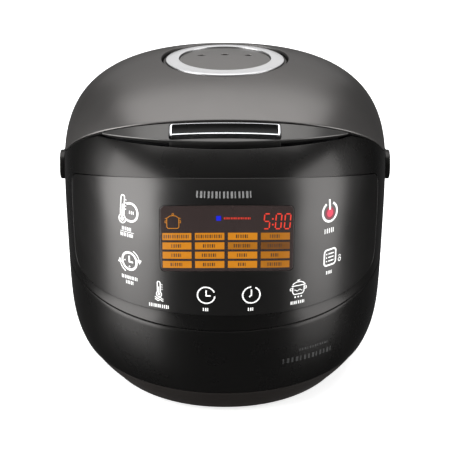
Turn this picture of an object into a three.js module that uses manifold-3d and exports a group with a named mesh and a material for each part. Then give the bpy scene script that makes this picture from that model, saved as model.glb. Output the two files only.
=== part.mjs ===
// A domed electric multicooker: a moulded body with a hinged lid, a touch panel, a lift-out
// bowl over a heating plate, a push-button latch, a removable steam valve, a swing handle
// and a drip cup. Millimetres, +Z up, +Y to the back, origin on the floor under the middle
// of the whole object. Inside this file Y is measured from the body's own vertical axis.

import * as THREE from 'three';
import { mergeVertices } from 'three/addons/utils/BufferGeometryUtils.js';
import Module from 'manifold-3d';

const wasm = await Module();
wasm.setup();

// ---------------------------------------------------------------- driving dimensions

// Fits
const gap = 0.3; // between fixed pieces that touch
const runGap = 0.5; // round a piece that moves
const seamGap = 1.5; // the open joint line between lid and body
const skin = 3; // moulded walls of the outside
const lining = 2.2; // moulded walls inside the lid
const deckWall = 2.5; // moulded walls of the bowl deck

// Body outline. In plan it is a superellipse, in height it bulges at the waist.
const bodyHalfWidth = 141;
const bodyFront = 169;
const bodyRear = 160.5;
const planPower = 2.083;
const baseHalfWidth = 110;
const baseFront = 152;
const baseRear = 144;
const taper = 0.028; // how much the sides draw in from the waist to the base
const heelPower = { side: 8.5, end: 10 }; // how suddenly the base tucks under
const domePower = { side: [3.23, 2.51], end: [2.43, 2.13] };
const planSteps = 32;
const levelSteps = { below: 5, above: 8 }; // from the waist down and from the waist up

// Feet and base
const footHeight = 4;
const footRadius = 9;
const footX = 60;
const footFrontY = -98;
const footRearY = 92;
const basePlate = 3;
const baseRise = 17; // height of the base tray's rim over its underside
const baseInset = 0.8; // the tray stands back from the body's outline
const screwRadius = 1.8;
const screwHeadRadius = 3.8;
const screwX = 84;
const screwY = 70;
const screwHeadHeight = 2.2;
const screwReach = 10; // how far the screws go in above the tray's rim
const screwBoss = { radius: 5.5, web: 3 };
const footStemRadius = 3;
const ventSlot = { width: 4, length: 46, pitch: 11, count: 5, y: 20 };

// Bowl, and what heats it
const bowlY = 7; // the bowl's axis, behind the body's
const bowlFloorZ = 51;
const bowlDepth = 129; // floor to the deck that carries the rim
const bowlRadius = 108.5;
const bowlWall = 1.5;
const bowlRim = 114;
const bowlHeel = 20; // radius between floor and wall
const chamberRadius = 113.7;
const chamberWall = 1.2;
const chamberFloorZ = 40;
const plateRadius = 95;
const plateThickness = 7;
const plateHole = 18;
const sensorRadius = 14;
const sensorStem = 5.5;
const sensorCapHeight = 4.5;
const sensorTail = 9; // the stem below its holder
const sensorHolderWidth = 20;
const sensorHole = 8; // the chamber's hole is this much wider than the cap
const sideHeater = { from: 100, height: 40, thickness: 1.8 };

// Levels that hang on the deck
const waistBelowDeck = 23;
const lidRise = 89; // deck to the top of the dome
const seamRise = 6; // deck to the seam at the back
const seamFrontY = 122; // where the seam crosses the front of the dome
const seamKnee = 30; // where the seam starts to climb, in front of the axis
const seamBlend = 20;

// The well that the lid's plug drops into
const wellHalfWidth = 126;
const wellFront = 114.5;
const wellRear = 140;
const wellPower = 2.3;
const plugGap = 2;

// Crescent ledge in front of the lid, and the button on it
const crescentHalfWidth = 103;
const crescentDrop = 12;
const buttonHalfWidth = 44;
const buttonLength = 16;
const buttonDepth = 6.5;
const buttonTravel = 3.5;
const latchArm = 10; // from the latch pin to where the button pushes it
const latchPinRadius = 1.5;
const latchBelowSeam = 28;
const latchRise = 12; // latch pin to the hook
const latchHalfWidth = 7;
const latchInFront = 4.5; // latch pin to the outside of the well's wall
const latchWall = { clearance: 1, thickness: 2.5 };
const buttonBorder = { back: 1.5, front: 4.6, side: 3.2 };
const buttonRise = 0.8; // over the crescent
const insertRise = 0.6;
const insertDepth = 3.2;
const stemSize = { halfWidth: 3, depth: 2, belowSeam: 11 };

// Control panel
const panelRise = 26; // deck to the panel's top edge at the front
const panelHeight = 113;
const panelTopSlope = 0.28;
const panelRearY = 73; // how far in front of the axis its side edges are
const panelSeam = 0.5;
const bandHeight = 14; // panel to the lower shell
const lowerSeamSlope = 0.125;
const windowHalfWidth = 53;
const windowHeight = 54.5;
const windowX = 1.5;
const windowBelowTop = 23.5;
const windowArch = 4; // the middle of its edges over their ends
const moduleDepth = 9;
const moduleInset = 2; // inside the window's edge
const boardThickness = 1.6;
const controlBoardSize = { halfWidth: 58, below: 44, above: 36 };
const powerBoardSize = { halfWidth: 55, front: -124, rear: -60, overTray: 13 };
const boardPost = { radius: 3.5, inset: 6 };
const transformerSize = { x0: -42, x1: -12, margin: 14, height: 13 };
const relaySize = { x0: 4, x1: 24, margin: 12, length: 16, height: 12 };
const capacitorSize = { x: 38, radius: 6, height: 12 };

// Lid fittings
const ventY = -8;
const ventRadius = 54.7;
const ventDepth = 21;
const ventWall = 2.3;
const ringOuter = 51.2;
const ringInner = 39.4;
const coverHole = { halfWidth: 3.5, halfLength: 2.4, pitch: 20.2, y: 8 };
const ductRadius = 11;
const ductWall = 2.5;
const ductOverDeck = 5;
const ringRim = { bottom: -8, outer: -2.2, shoulder: -1, crest: 1.5, inner: 1 };
const coverRise = { edge: 0, quarter: 1.1, half: 1.8, middle: 2.1 };
const cupRadius = { floor: 34, rim: 36, inside: 32 };
const cupRimLevel = -3.5;
const cupSpigot = 10; // length below the cup's floor
const cupThickness = 2;
const lidPlateThickness = 1.8;
const sealWidth = 7.5;
const sealHeight = 4;

// Hinge
const hingeBehindWall = 11;
const hingeAboveSeam = 4;
const hingePinRadius = 3;
const knuckleRadius = 5.5;
const bracketHalfWidth = 28;
const earWidth = 6;
const earRun = 22; // from the pin forward to inside the lid's skin
const earRise = { atPin: 7, middle: 12, atLid: 13, under: -1.5 };
const bracketDrop = 36; // below the pin
const pinOverhang = 3;
const springClearance = 2;

// Handle
const handleY = 4;
const handleBelowDeck = 14;
const handleThickness = 4.6;
const handleHeight = 17;
const gripThickness = 13;
const gripHeight = 19;
const handleReach = 196; // pivot to the middle of the grip
const handleStraight = 64;
const handleDroop = 5; // degrees below level when it is folded back
const hubRadius = 13;
const pivotRadius = 6;
const pivotWasher = { width: 3, thickness: 2.5, clearance: 6 };
const handleGap = 0.5; // handle to the body's widest point
const handleSweep = 0.77; // below 1 squares the bow's plan

// Drip cup and power inlet, on the back
const cupHalfWidth = 36;
const cupHeight = 32;
const cupDepth = 21;
const cupWall = 1.6;
const cupZ = 94;
const cupCorner = 6;
const cupGap = 0.6; // cup to the body
const inletZ = 48;
const inletHalfWidth = 15;
const inletHalfHeight = 12;
const inletDepth = 24;
const inletWall = 2.6;
const inletFlange = 5;
const inletLip = 2.6; // how far the flange stands out
const inletFloor = 5;
const inletCorner = { outside: 4, inside: 3 };
const inletPinSize = { halfWidth: 1, halfHeight: 2, pitch: 7, stagger: 2.2, setBack: 4 };

// ---------------------------------------------------------------- derived levels

const deckZ = bowlFloorZ + bowlDepth;
const waistZ = deckZ - waistBelowDeck;
const topZ = deckZ + lidRise;
const seamRearZ = deckZ + seamRise;
const baseZ = footHeight;
const baseTopZ = baseZ + baseRise;
const panelTopZ = deckZ + panelRise;
const panelBottomZ = panelTopZ - panelHeight;
const lowerSeamFrontZ = panelBottomZ - bandHeight;
const handleZ = deckZ - handleBelowDeck;
const pinZ = seamRearZ + hingeAboveSeam;
const reach = 1.6 * bodyFront; // past every side of the body

// ---------------------------------------------------------------- solids from geometry

function solidOf(geometry) {
  const bare = geometry.clone();
  for (const name of Object.keys(bare.attributes)) {
    if (name !== 'position') bare.deleteAttribute(name);
  }
  const merged = mergeVertices(bare, 1e-4);
  const triangles = Uint32Array.from(merged.index.array);
  const vertices = Float32Array.from(merged.attributes.position.array);
  const build = () => new wasm.Manifold(
    new wasm.Mesh({ numProp: 3, vertProperties: vertices, triVerts: triangles }));
  const made = build();
  if (made.volume() > 0) return made;
  for (let i = 0; i < triangles.length; i += 3) {
    [triangles[i + 1], triangles[i + 2]] = [triangles[i + 2], triangles[i + 1]];
  }
  return build();
}

function geometryOf(solid) {
  const mesh = solid.getMesh();
  const position = new Float32Array(mesh.numVert * 3);
  for (let i = 0; i < mesh.numVert; i++) {
    for (let k = 0; k < 3; k++) position[3 * i + k] = mesh.vertProperties[mesh.numProp * i + k];
  }
  const geometry = new THREE.BufferGeometry();
  geometry.setAttribute('position', new THREE.BufferAttribute(position, 3));
  geometry.setIndex(new THREE.BufferAttribute(mesh.triVerts, 1));
  const flat = geometry.toNonIndexed();
  flat.computeVertexNormals();
  return flat;
}

const union = (first, ...rest) => rest.reduce((sum, one) => sum.add(one), first);
const cut = (first, ...rest) => rest.reduce((left, one) => left.subtract(one), first);
const common = (first, ...rest) => rest.reduce((left, one) => left.intersect(one), first);

function box(x0, x1, y0, y1, z0, z1) {
  const geometry = new THREE.BoxGeometry(x1 - x0, y1 - y0, z1 - z0);
  geometry.translate((x0 + x1) / 2, (y0 + y1) / 2, (z0 + z1) / 2);
  return solidOf(geometry);
}

// Upright cylinder
function post(x, y, radius, z0, z1, sides = 24) {
  const geometry = new THREE.CylinderGeometry(radius, radius, z1 - z0, sides);
  geometry.rotateX(Math.PI / 2);
  geometry.translate(x, y, (z0 + z1) / 2);
  return solidOf(geometry);
}

// Cylinder along X
function barX(y, z, radius, x0, x1, sides = 24) {
  const geometry = new THREE.CylinderGeometry(radius, radius, x1 - x0, sides);
  geometry.rotateZ(Math.PI / 2);
  geometry.translate((x0 + x1) / 2, y, z);
  return solidOf(geometry);
}

// A profile of [radius, height] turned about a vertical axis at y
function turned(profile, y = 0, sides = planSteps) {
  const points = profile.map(([r, z]) => new THREE.Vector2(r, z));
  const geometry = new THREE.LatheGeometry(points, sides);
  geometry.rotateX(Math.PI / 2);
  geometry.translate(0, y, 0);
  return solidOf(geometry);
}

function tube(inner, outer, z0, z1, y = 0, sides = planSteps) {
  return turned([[inner, z0], [outer, z0], [outer, z1], [inner, z1], [inner, z0]], y, sides);
}

// A closed outline of [y, z] points carried along X
function alongX(outline, x0, x1) {
  const shape = new THREE.Shape(outline.map(([y, z]) => new THREE.Vector2(y, z)));
  const geometry = new THREE.ExtrudeGeometry(shape, { depth: x1 - x0, bevelEnabled: false });
  const basis = new THREE.Matrix4().makeBasis(
    new THREE.Vector3(0, 1, 0), new THREE.Vector3(0, 0, 1), new THREE.Vector3(1, 0, 0));
  geometry.applyMatrix4(basis);
  geometry.translate(x0, 0, 0);
  return solidOf(geometry);
}

// A rounded rectangle in X and Z, carried along Y
function plaqueY(x, z, halfWidth, halfHeight, radius, y0, y1) {
  const shape = new THREE.Shape();
  const w = halfWidth;
  const h = halfHeight;
  shape.moveTo(-w + radius, -h);
  shape.lineTo(w - radius, -h);
  shape.absarc(w - radius, -h + radius, radius, -Math.PI / 2, 0);
  shape.absarc(w - radius, h - radius, radius, 0, Math.PI / 2);
  shape.absarc(-w + radius, h - radius, radius, Math.PI / 2, Math.PI);
  shape.absarc(-w + radius, -h + radius, radius, Math.PI, 1.5 * Math.PI);
  const settings = { depth: y1 - y0, bevelEnabled: false, curveSegments: 4 };
  const geometry = new THREE.ExtrudeGeometry(shape, settings);
  geometry.rotateX(Math.PI / 2);
  geometry.translate(x, y1, z);
  return solidOf(geometry);
}

// Skins a list of rings, each a loop of the same number of points, and closes both ends
function loft(rings) {
  const n = rings[0].length;
  const position = [];
  const index = [];
  for (const ring of rings) {
    for (const p of ring) position.push(p.x, p.y, p.z);
  }
  for (let r = 0; r + 1 < rings.length; r++) {
    for (let i = 0; i < n; i++) {
      const a = r * n + i;
      const b = r * n + (i + 1) % n;
      index.push(a, b, b + n, a, b + n, a + n);
    }
  }
  for (const [ring, start, last] of [[rings[0], 0, false], [rings.at(-1), n * (rings.length - 1), true]]) {
    const middle = ring.reduce((sum, p) => sum.add(p), new THREE.Vector3()).divideScalar(n);
    const m = position.length / 3;
    position.push(middle.x, middle.y, middle.z);
    for (let i = 0; i < n; i++) {
      const a = start + i;
      const b = start + (i + 1) % n;
      index.push(...(last ? [a, b, m] : [b, a, m]));
    }
  }
  const geometry = new THREE.BufferGeometry();
  geometry.setAttribute('position', new THREE.Float32BufferAttribute(position, 3));
  geometry.setIndex(index);
  return solidOf(geometry);
}

class Helix extends THREE.Curve {
  constructor(radius, length, turns) {
    super();
    Object.assign(this, { radius, length, turns });
  }

  getPoint(t, target = new THREE.Vector3()) {
    const angle = 2 * Math.PI * this.turns * t;
    return target.set(this.radius * Math.cos(angle), this.radius * Math.sin(angle), this.length * t);
  }
}

// A wire spring that stands on the origin and rises along Z
function coil(radius, wire, length, turns) {
  const section = new THREE.Shape();
  section.absarc(0, 0, wire, 0, 2 * Math.PI);
  return new THREE.ExtrudeGeometry(section, {
    steps: 8 * turns,
    curveSegments: 3,
    extrudePath: new Helix(radius, length - 2 * wire, turns),
  }).translate(0, 0, wire);
}

// ---------------------------------------------------------------- the body's outline

// Half-size of the body at height z, for a skin drawn in by inset
function reachAt(z, inset, full, base, heel, dome) {
  const widest = full - inset;
  if (z <= waistZ) {
    const down = (waistZ - z) / (waistZ - baseZ);
    const tucked = widest * (1 - taper) - (base - inset);
    return widest * (1 - taper * down) - tucked * down ** heel;
  }
  const up = Math.min(1, (z - waistZ) / (topZ - inset - waistZ));
  return widest * (1 - up ** dome[0]) ** (1 / dome[1]);
}

const sideAt = (z, inset = 0) =>
  reachAt(z, inset, bodyHalfWidth, baseHalfWidth, heelPower.side, domePower.side);
const frontAt = (z, inset = 0) =>
  reachAt(z, inset, bodyFront, baseFront, heelPower.end, domePower.end);
const rearAt = (z, inset = 0) =>
  reachAt(z, inset, bodyRear, baseRear, heelPower.end, domePower.end);

function planRing(side, front, rear, z, power) {
  const ring = [];
  for (let i = 0; i < planSteps; i++) {
    const c = Math.cos((2 * Math.PI * i) / planSteps);
    const s = Math.sin((2 * Math.PI * i) / planSteps);
    const x = side * Math.sign(c) * Math.abs(c) ** (2 / power);
    const y = (s < 0 ? front : rear) * Math.sign(s) * Math.abs(s) ** (2 / power);
    ring.push(new THREE.Vector3(x, y, z));
  }
  return ring;
}

// Everything inside the body's outline between two heights
function bodySolid(z0, z1, inset = 0) {
  const crown = topZ - inset;
  const top = Math.min(z1, crown - 0.01);
  const levels = [z0, top];
  const { below, above } = levelSteps;
  for (let k = 0; k <= below; k++) levels.push(baseZ + (waistZ - baseZ) * (k / below) ** 2);
  for (let k = 1; k <= above; k++) {
    levels.push(waistZ + (crown - waistZ) * Math.sin((k * Math.PI) / (2 * above + 2)));
  }
  const inside = levels.filter(z => z >= z0 && z <= top).sort((a, b) => a - b);
  const apart = inside.filter((z, i) => i === 0 || z - inside[i - 1] > 0.005);
  return loft(apart.map(z =>
    planRing(sideAt(z, inset), frontAt(z, inset), rearAt(z, inset), z, planPower)));
}

function wellSolid(z0, z1, inset) {
  const ring = z => planRing(wellHalfWidth - inset, wellFront - inset, wellRear - inset, z, wellPower);
  return loft([ring(z0), ring(z1)]);
}

// Height at which the dome's middle line is as far as y from the axis
function domeZ(y) {
  const end = y < 0 ? frontAt : rearAt;
  let low = waistZ;
  let high = topZ;
  for (let k = 0; k < 40; k++) {
    const middle = (low + high) / 2;
    if (end(middle) > Math.abs(y)) low = middle;
    else high = middle;
  }
  return low;
}

// ---------------------------------------------------------------- seams

const seamFrontZ = domeZ(-seamFrontY);
const seamSlope = (seamFrontZ - seamRearZ) / (seamFrontY - seamKnee);

// The seam between lid and body, level at the back and climbing to the front
function seamZ(y) {
  const forward = -seamKnee - y;
  if (forward >= seamBlend) return seamRearZ + seamSlope * forward;
  if (forward <= -seamBlend) return seamRearZ;
  const share = (forward + seamBlend) / (2 * seamBlend);
  return seamRearZ + seamSlope * seamBlend * share ** 2;
}

function seamLine(rise) {
  const line = [[-reach, seamZ(-reach) + rise]];
  for (let k = 0; k <= 6; k++) {
    const y = -seamKnee - seamBlend + (k * seamBlend) / 3;
    line.push([y, seamZ(y) + rise]);
  }
  line.push([reach, seamRearZ + rise]);
  return line;
}

const overSeam = rise => alongX(
  [...seamLine(rise), [reach, topZ + reach], [-reach, topZ + reach]], -reach, reach);
const underSeam = rise => alongX(
  [[-reach, -reach], [reach, -reach], ...seamLine(rise).reverse()], -reach, reach);

// The seam between the lower shell and the upper one
const lowerSeamZ = y => lowerSeamFrontZ + lowerSeamSlope * (Math.min(y, 0) + bodyFront);

function overLowerSeam(rise) {
  const line = [-reach, 0, reach].map(y => [y, lowerSeamZ(y) + rise]);
  return alongX([...line, [reach, topZ + reach], [-reach, topZ + reach]], -reach, reach);
}

function underLowerSeam(rise) {
  const line = [reach, 0, -reach].map(y => [y, lowerSeamZ(y) + rise]);
  return alongX([[-reach, -reach], [reach, -reach], ...line], -reach, reach);
}

// ---------------------------------------------------------------- crescent ledge

function frontSurfaceY(x, z) {
  const share = Math.min(1, Math.abs(x) / sideAt(z));
  return -frontAt(z) * (1 - share ** planPower) ** (1 / planPower);
}

// Where the seam meets the front of the dome at x
function seamPoint(x) {
  let low = seamRearZ;
  let high = topZ - 1;
  for (let k = 0; k < 40; k++) {
    const z = (low + high) / 2;
    if (z < seamZ(frontSurfaceY(x, z))) low = z;
    else high = z;
  }
  return new THREE.Vector3(x, frontSurfaceY(x, low), low);
}

// The ledge's line at x: its start on the seam and its direction down to the front
function ledgeLine(x) {
  const start = seamPoint(x);
  const share = Math.min(0.98, Math.abs(x) / crescentHalfWidth);
  const endZ = start.z - crescentDrop * (1 - share ** 2) ** 0.8;
  const end = new THREE.Vector3(x, frontSurfaceY(x, endZ), endZ);
  return { start, along: end.clone().sub(start).normalize(), length: end.distanceTo(start) };
}

// A block on the ledge between two distances down the slope, with upright sides
function ledgeBlock(x0, x1, from, to, lift, depth, steps = 12) {
  const rings = [];
  for (let k = 0; k <= steps; k++) {
    const x = x0 + ((x1 - x0) * k) / steps;
    const { start, along, length } = ledgeLine(x);
    const back = start.clone().addScaledVector(along, from);
    const front = start.clone().addScaledVector(along, to ?? length + 4);
    back.z += lift;
    front.z += lift;
    const down = new THREE.Vector3(0, 0, depth);
    rings.push([front.clone().sub(down), back.clone().sub(down), back, front]);
  }
  return loft(rings);
}

const ledgeCut = () => ledgeBlock(-crescentHalfWidth, crescentHalfWidth, -4, null, 30, 30, 24);
const buttonPocket = () => ledgeBlock(-buttonHalfWidth - runGap, buttonHalfWidth + runGap,
  -3, buttonLength + runGap, 20, 20 + buttonDepth + buttonTravel + 1);

// ---------------------------------------------------------------- control panel outline

const panelTopAt = y => panelTopZ - panelTopSlope * (y + bodyFront - 12);
const panelBottomAt = y => panelBottomZ + 0.0014 * Math.max(0, y + bodyFront - 12) ** 2;

function panelPrism(grow) {
  const rear = -panelRearY + grow;
  const topCorner = 8;
  const bottomCorner = 14;
  const shape = new THREE.Shape();
  shape.moveTo(-reach, panelBottomAt(-reach) - grow);
  for (let k = 0; k <= 6; k++) {
    const y = -bodyFront + ((bodyFront + rear - bottomCorner) * k) / 6;
    shape.lineTo(y, panelBottomAt(y) - grow);
  }
  shape.quadraticCurveTo(rear, panelBottomAt(rear) - grow, rear, panelBottomAt(rear) + bottomCorner);
  shape.lineTo(rear, panelTopAt(rear) - topCorner);
  const corner = rear - topCorner;
  shape.quadraticCurveTo(rear, panelTopAt(rear) + grow, corner, panelTopAt(corner) + grow);
  shape.lineTo(-reach, panelTopAt(-reach) + grow);
  return alongX(shape.getPoints(4).map(p => [p.x, p.y]), -reach, reach);
}

const windowZ = panelTopZ - windowBelowTop - windowHeight / 2;

// The window's outline carried along Y: a rounded rectangle whose long edges arch upwards
function windowPrism(grow) {
  const w = windowHalfWidth + grow;
  const h = windowHeight / 2 + grow;
  const corner = 4 + grow;
  const archAt = x => windowArch * (1 - (x / windowHalfWidth) ** 2);
  const shape = new THREE.Shape();
  shape.absarc(w - corner, corner - h, corner, -Math.PI / 2, 0);
  shape.absarc(w - corner, h - corner, corner, 0, Math.PI / 2);
  for (let k = 1; k < 8; k++) {
    const x = (w - corner) * (1 - k / 4);
    shape.lineTo(x, h);
  }
  shape.absarc(corner - w, h - corner, corner, Math.PI / 2, Math.PI);
  shape.absarc(corner - w, corner - h, corner, Math.PI, 1.5 * Math.PI);
  for (let k = 1; k < 8; k++) {
    const x = (w - corner) * (k / 4 - 1);
    shape.lineTo(x, -h);
  }
  const outline = shape.getPoints(4).map(p => new THREE.Vector2(p.x, p.y + archAt(p.x)));
  const settings = { depth: reach - bodyFront / 2, bevelEnabled: false };
  const geometry = new THREE.ExtrudeGeometry(new THREE.Shape(outline), settings);
  geometry.rotateX(Math.PI / 2);
  return solidOf(geometry.translate(windowX, -bodyFront / 2, windowZ));
}

// ---------------------------------------------------------------- outside of the body

const screwSpots = [];
const footSpots = [];
for (const side of [-1, 1]) {
  for (const end of [-1, 1]) {
    screwSpots.push([side * screwX, end * screwY]);
    footSpots.push([side * footX, end < 0 ? footFrontY : footRearY]);
  }
}

const board = {
  x: powerBoardSize.halfWidth,
  y0: powerBoardSize.front,
  y1: powerBoardSize.rear,
  z: baseZ + basePlate + powerBoardSize.overTray,
};

function baseTray() {
  const outside = bodySolid(baseZ, baseTopZ, baseInset);
  const inside = bodySolid(baseZ + basePlate, baseTopZ + 10, baseInset + deckWall);
  const ends = [board.y0 + boardPost.inset, board.y1 - boardPost.inset];
  const posts = [-1, 1].flatMap(side => ends.map(y =>
    post(side * (board.x - boardPost.inset), y, boardPost.radius, baseZ + 1, board.z - gap, 12)));
  let tray = union(cut(outside, inside), ...posts);
  for (const [x, y] of footSpots) tray = tray.subtract(post(x, y, footStemRadius + gap, 0, baseTopZ, 16));
  for (const [x, y] of screwSpots) tray = tray.subtract(post(x, y, screwRadius + gap, 0, baseTopZ, 12));
  for (let k = 0; k < ventSlot.count; k++) {
    const y = ventSlot.y + (k - (ventSlot.count - 1) / 2) * ventSlot.pitch;
    const half = ventSlot.width / 2;
    tray = tray.subtract(box(-ventSlot.length / 2, ventSlot.length / 2, y - half, y + half, 0, baseTopZ));
  }
  return tray;
}

function foot(x, y) {
  const pad = post(x, y, footRadius, 0, footHeight - gap, 24);
  return union(pad, post(x, y, footStemRadius, footHeight / 2, footHeight + basePlate - runGap, 16));
}

const screwTopZ = baseTopZ + screwReach;
const screwPostZ = chamberFloorZ - 2;

function baseScrew(x, y) {
  const head = post(x, y, screwHeadRadius, baseZ - gap - screwHeadHeight, baseZ - gap, 12);
  return union(head, post(x, y, screwRadius, baseZ - 1, screwTopZ, 12));
}

function lowerShell() {
  const z0 = baseTopZ + gap;
  const z1 = lowerSeamZ(0) + 1;
  const outside = bodySolid(z0, z1);
  let shell = cut(outside, bodySolid(z0 - 2, z1 + 2, skin));
  for (const [x, y] of screwSpots) {
    const side = Math.sign(x);
    const [x0, x1] = [x, side * reach].sort((a, b) => a - b);
    const web = box(x0, x1, y - screwBoss.web / 2, y + screwBoss.web / 2, z0, screwPostZ);
    shell = shell.add(common(union(post(x, y, screwBoss.radius, z0, screwPostZ, 16), web), outside));
  }
  for (const [x, y] of screwSpots) {
    shell = shell.subtract(post(x, y, screwRadius + gap, z0 - 1, screwTopZ + gap, 12));
  }
  const socketHole = box(-inletHalfWidth - gap, inletHalfWidth + gap, 0, reach,
    inletZ - inletHalfHeight - gap, inletZ + inletHalfHeight + gap);
  return cut(common(shell, underLowerSeam(-gap / 2)), socketHole);
}

function upperSkin() {
  const z0 = lowerSeamZ(-bodyFront) - 1;
  const outside = bodySolid(z0, seamFrontZ + 6);
  const hollow = bodySolid(z0 - 2, seamFrontZ + 8, skin);
  return common(cut(outside, hollow), underSeam(-seamGap / 2), overLowerSeam(gap / 2));
}

function upperShell() {
  const bores = barX(handleY, handleZ, pivotRadius + gap, -reach, reach, 20);
  return cut(upperSkin(), panelPrism(panelSeam / 2), ledgeCut(), buttonPocket(), bores);
}

function controlPanel() {
  return cut(common(upperSkin(), panelPrism(-panelSeam / 2)), windowPrism(gap));
}

const displayWindow = () => common(upperSkin(), windowPrism(0));

// Behind the window: the edge of the glass leaves this much room
const moduleFrontY = frontSurfaceY(windowX + windowHalfWidth, windowZ + windowHeight / 2) + skin + 1;

function displayModule() {
  const w = windowHalfWidth - moduleInset;
  const h = windowHeight / 2 - moduleInset;
  return box(windowX - w, windowX + w, moduleFrontY, moduleFrontY + moduleDepth, windowZ - h, windowZ + h);
}

function controlBoard() {
  const y = moduleFrontY + moduleDepth + gap;
  const { halfWidth, below, above } = controlBoardSize;
  return box(-halfWidth, halfWidth, y, y + boardThickness, windowZ - below, windowZ + above);
}

// The deck that carries the bowl, with the well round it and the top of the body's nose
const latchPin = { y: -wellFront - deckWall - latchInFront, z: seamFrontZ - latchBelowSeam };
const latchWallX = latchHalfWidth + latchWall.clearance;
const bracketWall = { inner: latchWallX, outer: latchWallX + latchWall.thickness };

function bowlDeck() {
  const z0 = deckZ - deckWall;
  const room = common(bodySolid(z0, seamFrontZ + 6, skin + gap), underSeam(-seamGap / 2));
  const inWell = common(room, wellSolid(z0 - 1, topZ, -deckWall));
  const flange = cut(room, underSeam(-seamGap / 2 - deckWall));
  let deck = union(inWell, flange);
  for (const side of [-1, 1]) {
    const walls = [side * bracketWall.inner, side * bracketWall.outer].sort((a, b) => a - b);
    deck = deck.add(box(...walls, latchPin.y - 6, -wellFront - 1, latchPin.z - 7, latchPin.z + 6));
  }
  const window = box(-latchWallX, latchWallX, -wellFront - deckWall - 1, -wellFront + 1,
    latchPin.z + 4, latchPin.z + latchRise + 7);
  return cut(deck, wellSolid(deckZ, topZ, 0), post(0, bowlY, bowlRadius + 1, 0, topZ, planSteps),
    buttonPocket(), window, barX(latchPin.y, latchPin.z, latchPinRadius + gap, -reach, reach, 12));
}

// ---------------------------------------------------------------- bowl and heating

const arcSteps = 4;

function bowlProfile() {
  const outside = [[0, bowlFloorZ]];
  const inside = [];
  for (let k = 0; k <= arcSteps; k++) {
    const angle = (Math.PI / 2) * (k / arcSteps);
    const r = bowlRadius - bowlHeel + bowlHeel * Math.sin(angle);
    const z = bowlFloorZ + bowlHeel - bowlHeel * Math.cos(angle);
    outside.push([r, z]);
    const inner = bowlHeel - bowlWall;
    inside.unshift([bowlRadius - bowlHeel + inner * Math.sin(angle),
      bowlFloorZ + bowlHeel - inner * Math.cos(angle)]);
  }
  const rimZ = deckZ + gap;
  const rim = [[bowlRadius, rimZ], [bowlRim, rimZ], [bowlRim, rimZ + bowlWall],
    [bowlRadius - bowlWall, rimZ + bowlWall]];
  return [...outside, ...rim, ...inside, [0, bowlFloorZ + bowlWall]];
}

const cookingBowl = () => turned(bowlProfile(), bowlY);

function innerChamber() {
  const r = chamberRadius;
  const w = chamberWall;
  const top = deckZ - deckWall - gap;
  const hole = sensorRadius + sensorHole;
  return turned([[hole, chamberFloorZ], [r, chamberFloorZ], [r, top], [r - w, top],
    [r - w, chamberFloorZ + w], [hole, chamberFloorZ + w],
    [hole, chamberFloorZ]], bowlY);
}

function heatingPlate() {
  const top = bowlFloorZ - gap;
  const bottom = top - plateThickness;
  return turned([[plateHole, bottom], [plateRadius - 8, bottom], [plateRadius, bottom + 3],
    [plateRadius, top - 2], [plateRadius - 4, top], [plateHole, top], [plateHole, bottom]], bowlY);
}

const sideHeaterBand = () => tube(chamberRadius + gap, chamberRadius + gap + sideHeater.thickness,
  sideHeater.from, sideHeater.from + sideHeater.height, bowlY);

const sensorTopZ = bowlFloorZ - gap;
const sensorCapZ = sensorTopZ - sensorCapHeight;
const holderTopZ = chamberFloorZ - 2 * gap;

function thermalSensor() {
  const stemEnd = holderTopZ - sensorTail;
  return turned([[0, stemEnd], [sensorStem, stemEnd], [sensorStem, sensorCapZ],
    [sensorRadius, sensorCapZ], [sensorRadius, sensorTopZ - 1], [sensorRadius - 1, sensorTopZ],
    [0, sensorTopZ]], bowlY, 32);
}

const sensorHolder = () =>
  tube(sensorStem + runGap, sensorRadius + sensorHolderWidth, holderTopZ - 2, holderTopZ, bowlY, 24);

const fuse = { radius: 2.6, length: 26, behindBowl: 58 };
const thermalFuse = () => barX(bowlY + fuse.behindBowl, chamberFloorZ - gap - fuse.radius, fuse.radius,
  -fuse.length / 2, fuse.length / 2, 12);

// ---------------------------------------------------------------- electronics

const partZ = board.z + boardThickness + gap;
const powerBoard = () => box(-board.x, board.x, board.y0, board.y1, board.z, board.z + boardThickness);

function transformer() {
  const { x0, x1, margin, height } = transformerSize;
  return box(x0, x1, board.y0 + margin, board.y1 - margin, partZ, partZ + height);
}

function relay() {
  const { x0, x1, margin, length, height } = relaySize;
  return box(x0, x1, board.y0 + margin, board.y0 + margin + length, partZ, partZ + height);
}

function capacitor() {
  const { x, radius, height } = capacitorSize;
  return post(x, (board.y0 + board.y1) / 2, radius, partZ, partZ + height, 20);
}

const inletWallY = rearAt(inletZ + inletHalfHeight + inletFlange);

function inletSocket() {
  const y0 = inletWallY + gap - inletDepth;
  const y1 = inletWallY + inletLip;
  const [w, h] = [inletHalfWidth, inletHalfHeight];
  const body = box(-w, w, y0, y1, inletZ - h, inletZ + h);
  const flange = plaqueY(0, inletZ, w + inletFlange, h + inletFlange, inletCorner.outside,
    inletWallY + gap, y1);
  const hollow = plaqueY(0, inletZ, w - inletWall, h - inletWall, inletCorner.inside,
    y0 + inletFloor, y1 + 1);
  let socket = cut(union(body, flange), hollow);
  for (const [x, z] of inletPins) {
    const [pw, ph] = [inletPinSize.halfWidth + gap, inletPinSize.halfHeight + gap];
    socket = socket.subtract(box(x - pw, x + pw, y0 - 1, y1, z - ph, z + ph));
  }
  return socket;
}

const inletPins = [-1, 0, 1].map(k =>
  [k * inletPinSize.pitch, inletZ + (k === 0 ? inletPinSize.stagger : -inletPinSize.stagger)]);

function inletPin(x, z) {
  const { halfWidth, halfHeight, setBack } = inletPinSize;
  const end = inletWallY - setBack;
  return box(x - halfWidth, x + halfWidth, end - inletDepth, end, z - halfHeight, z + halfHeight);
}

// ---------------------------------------------------------------- lid

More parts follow.
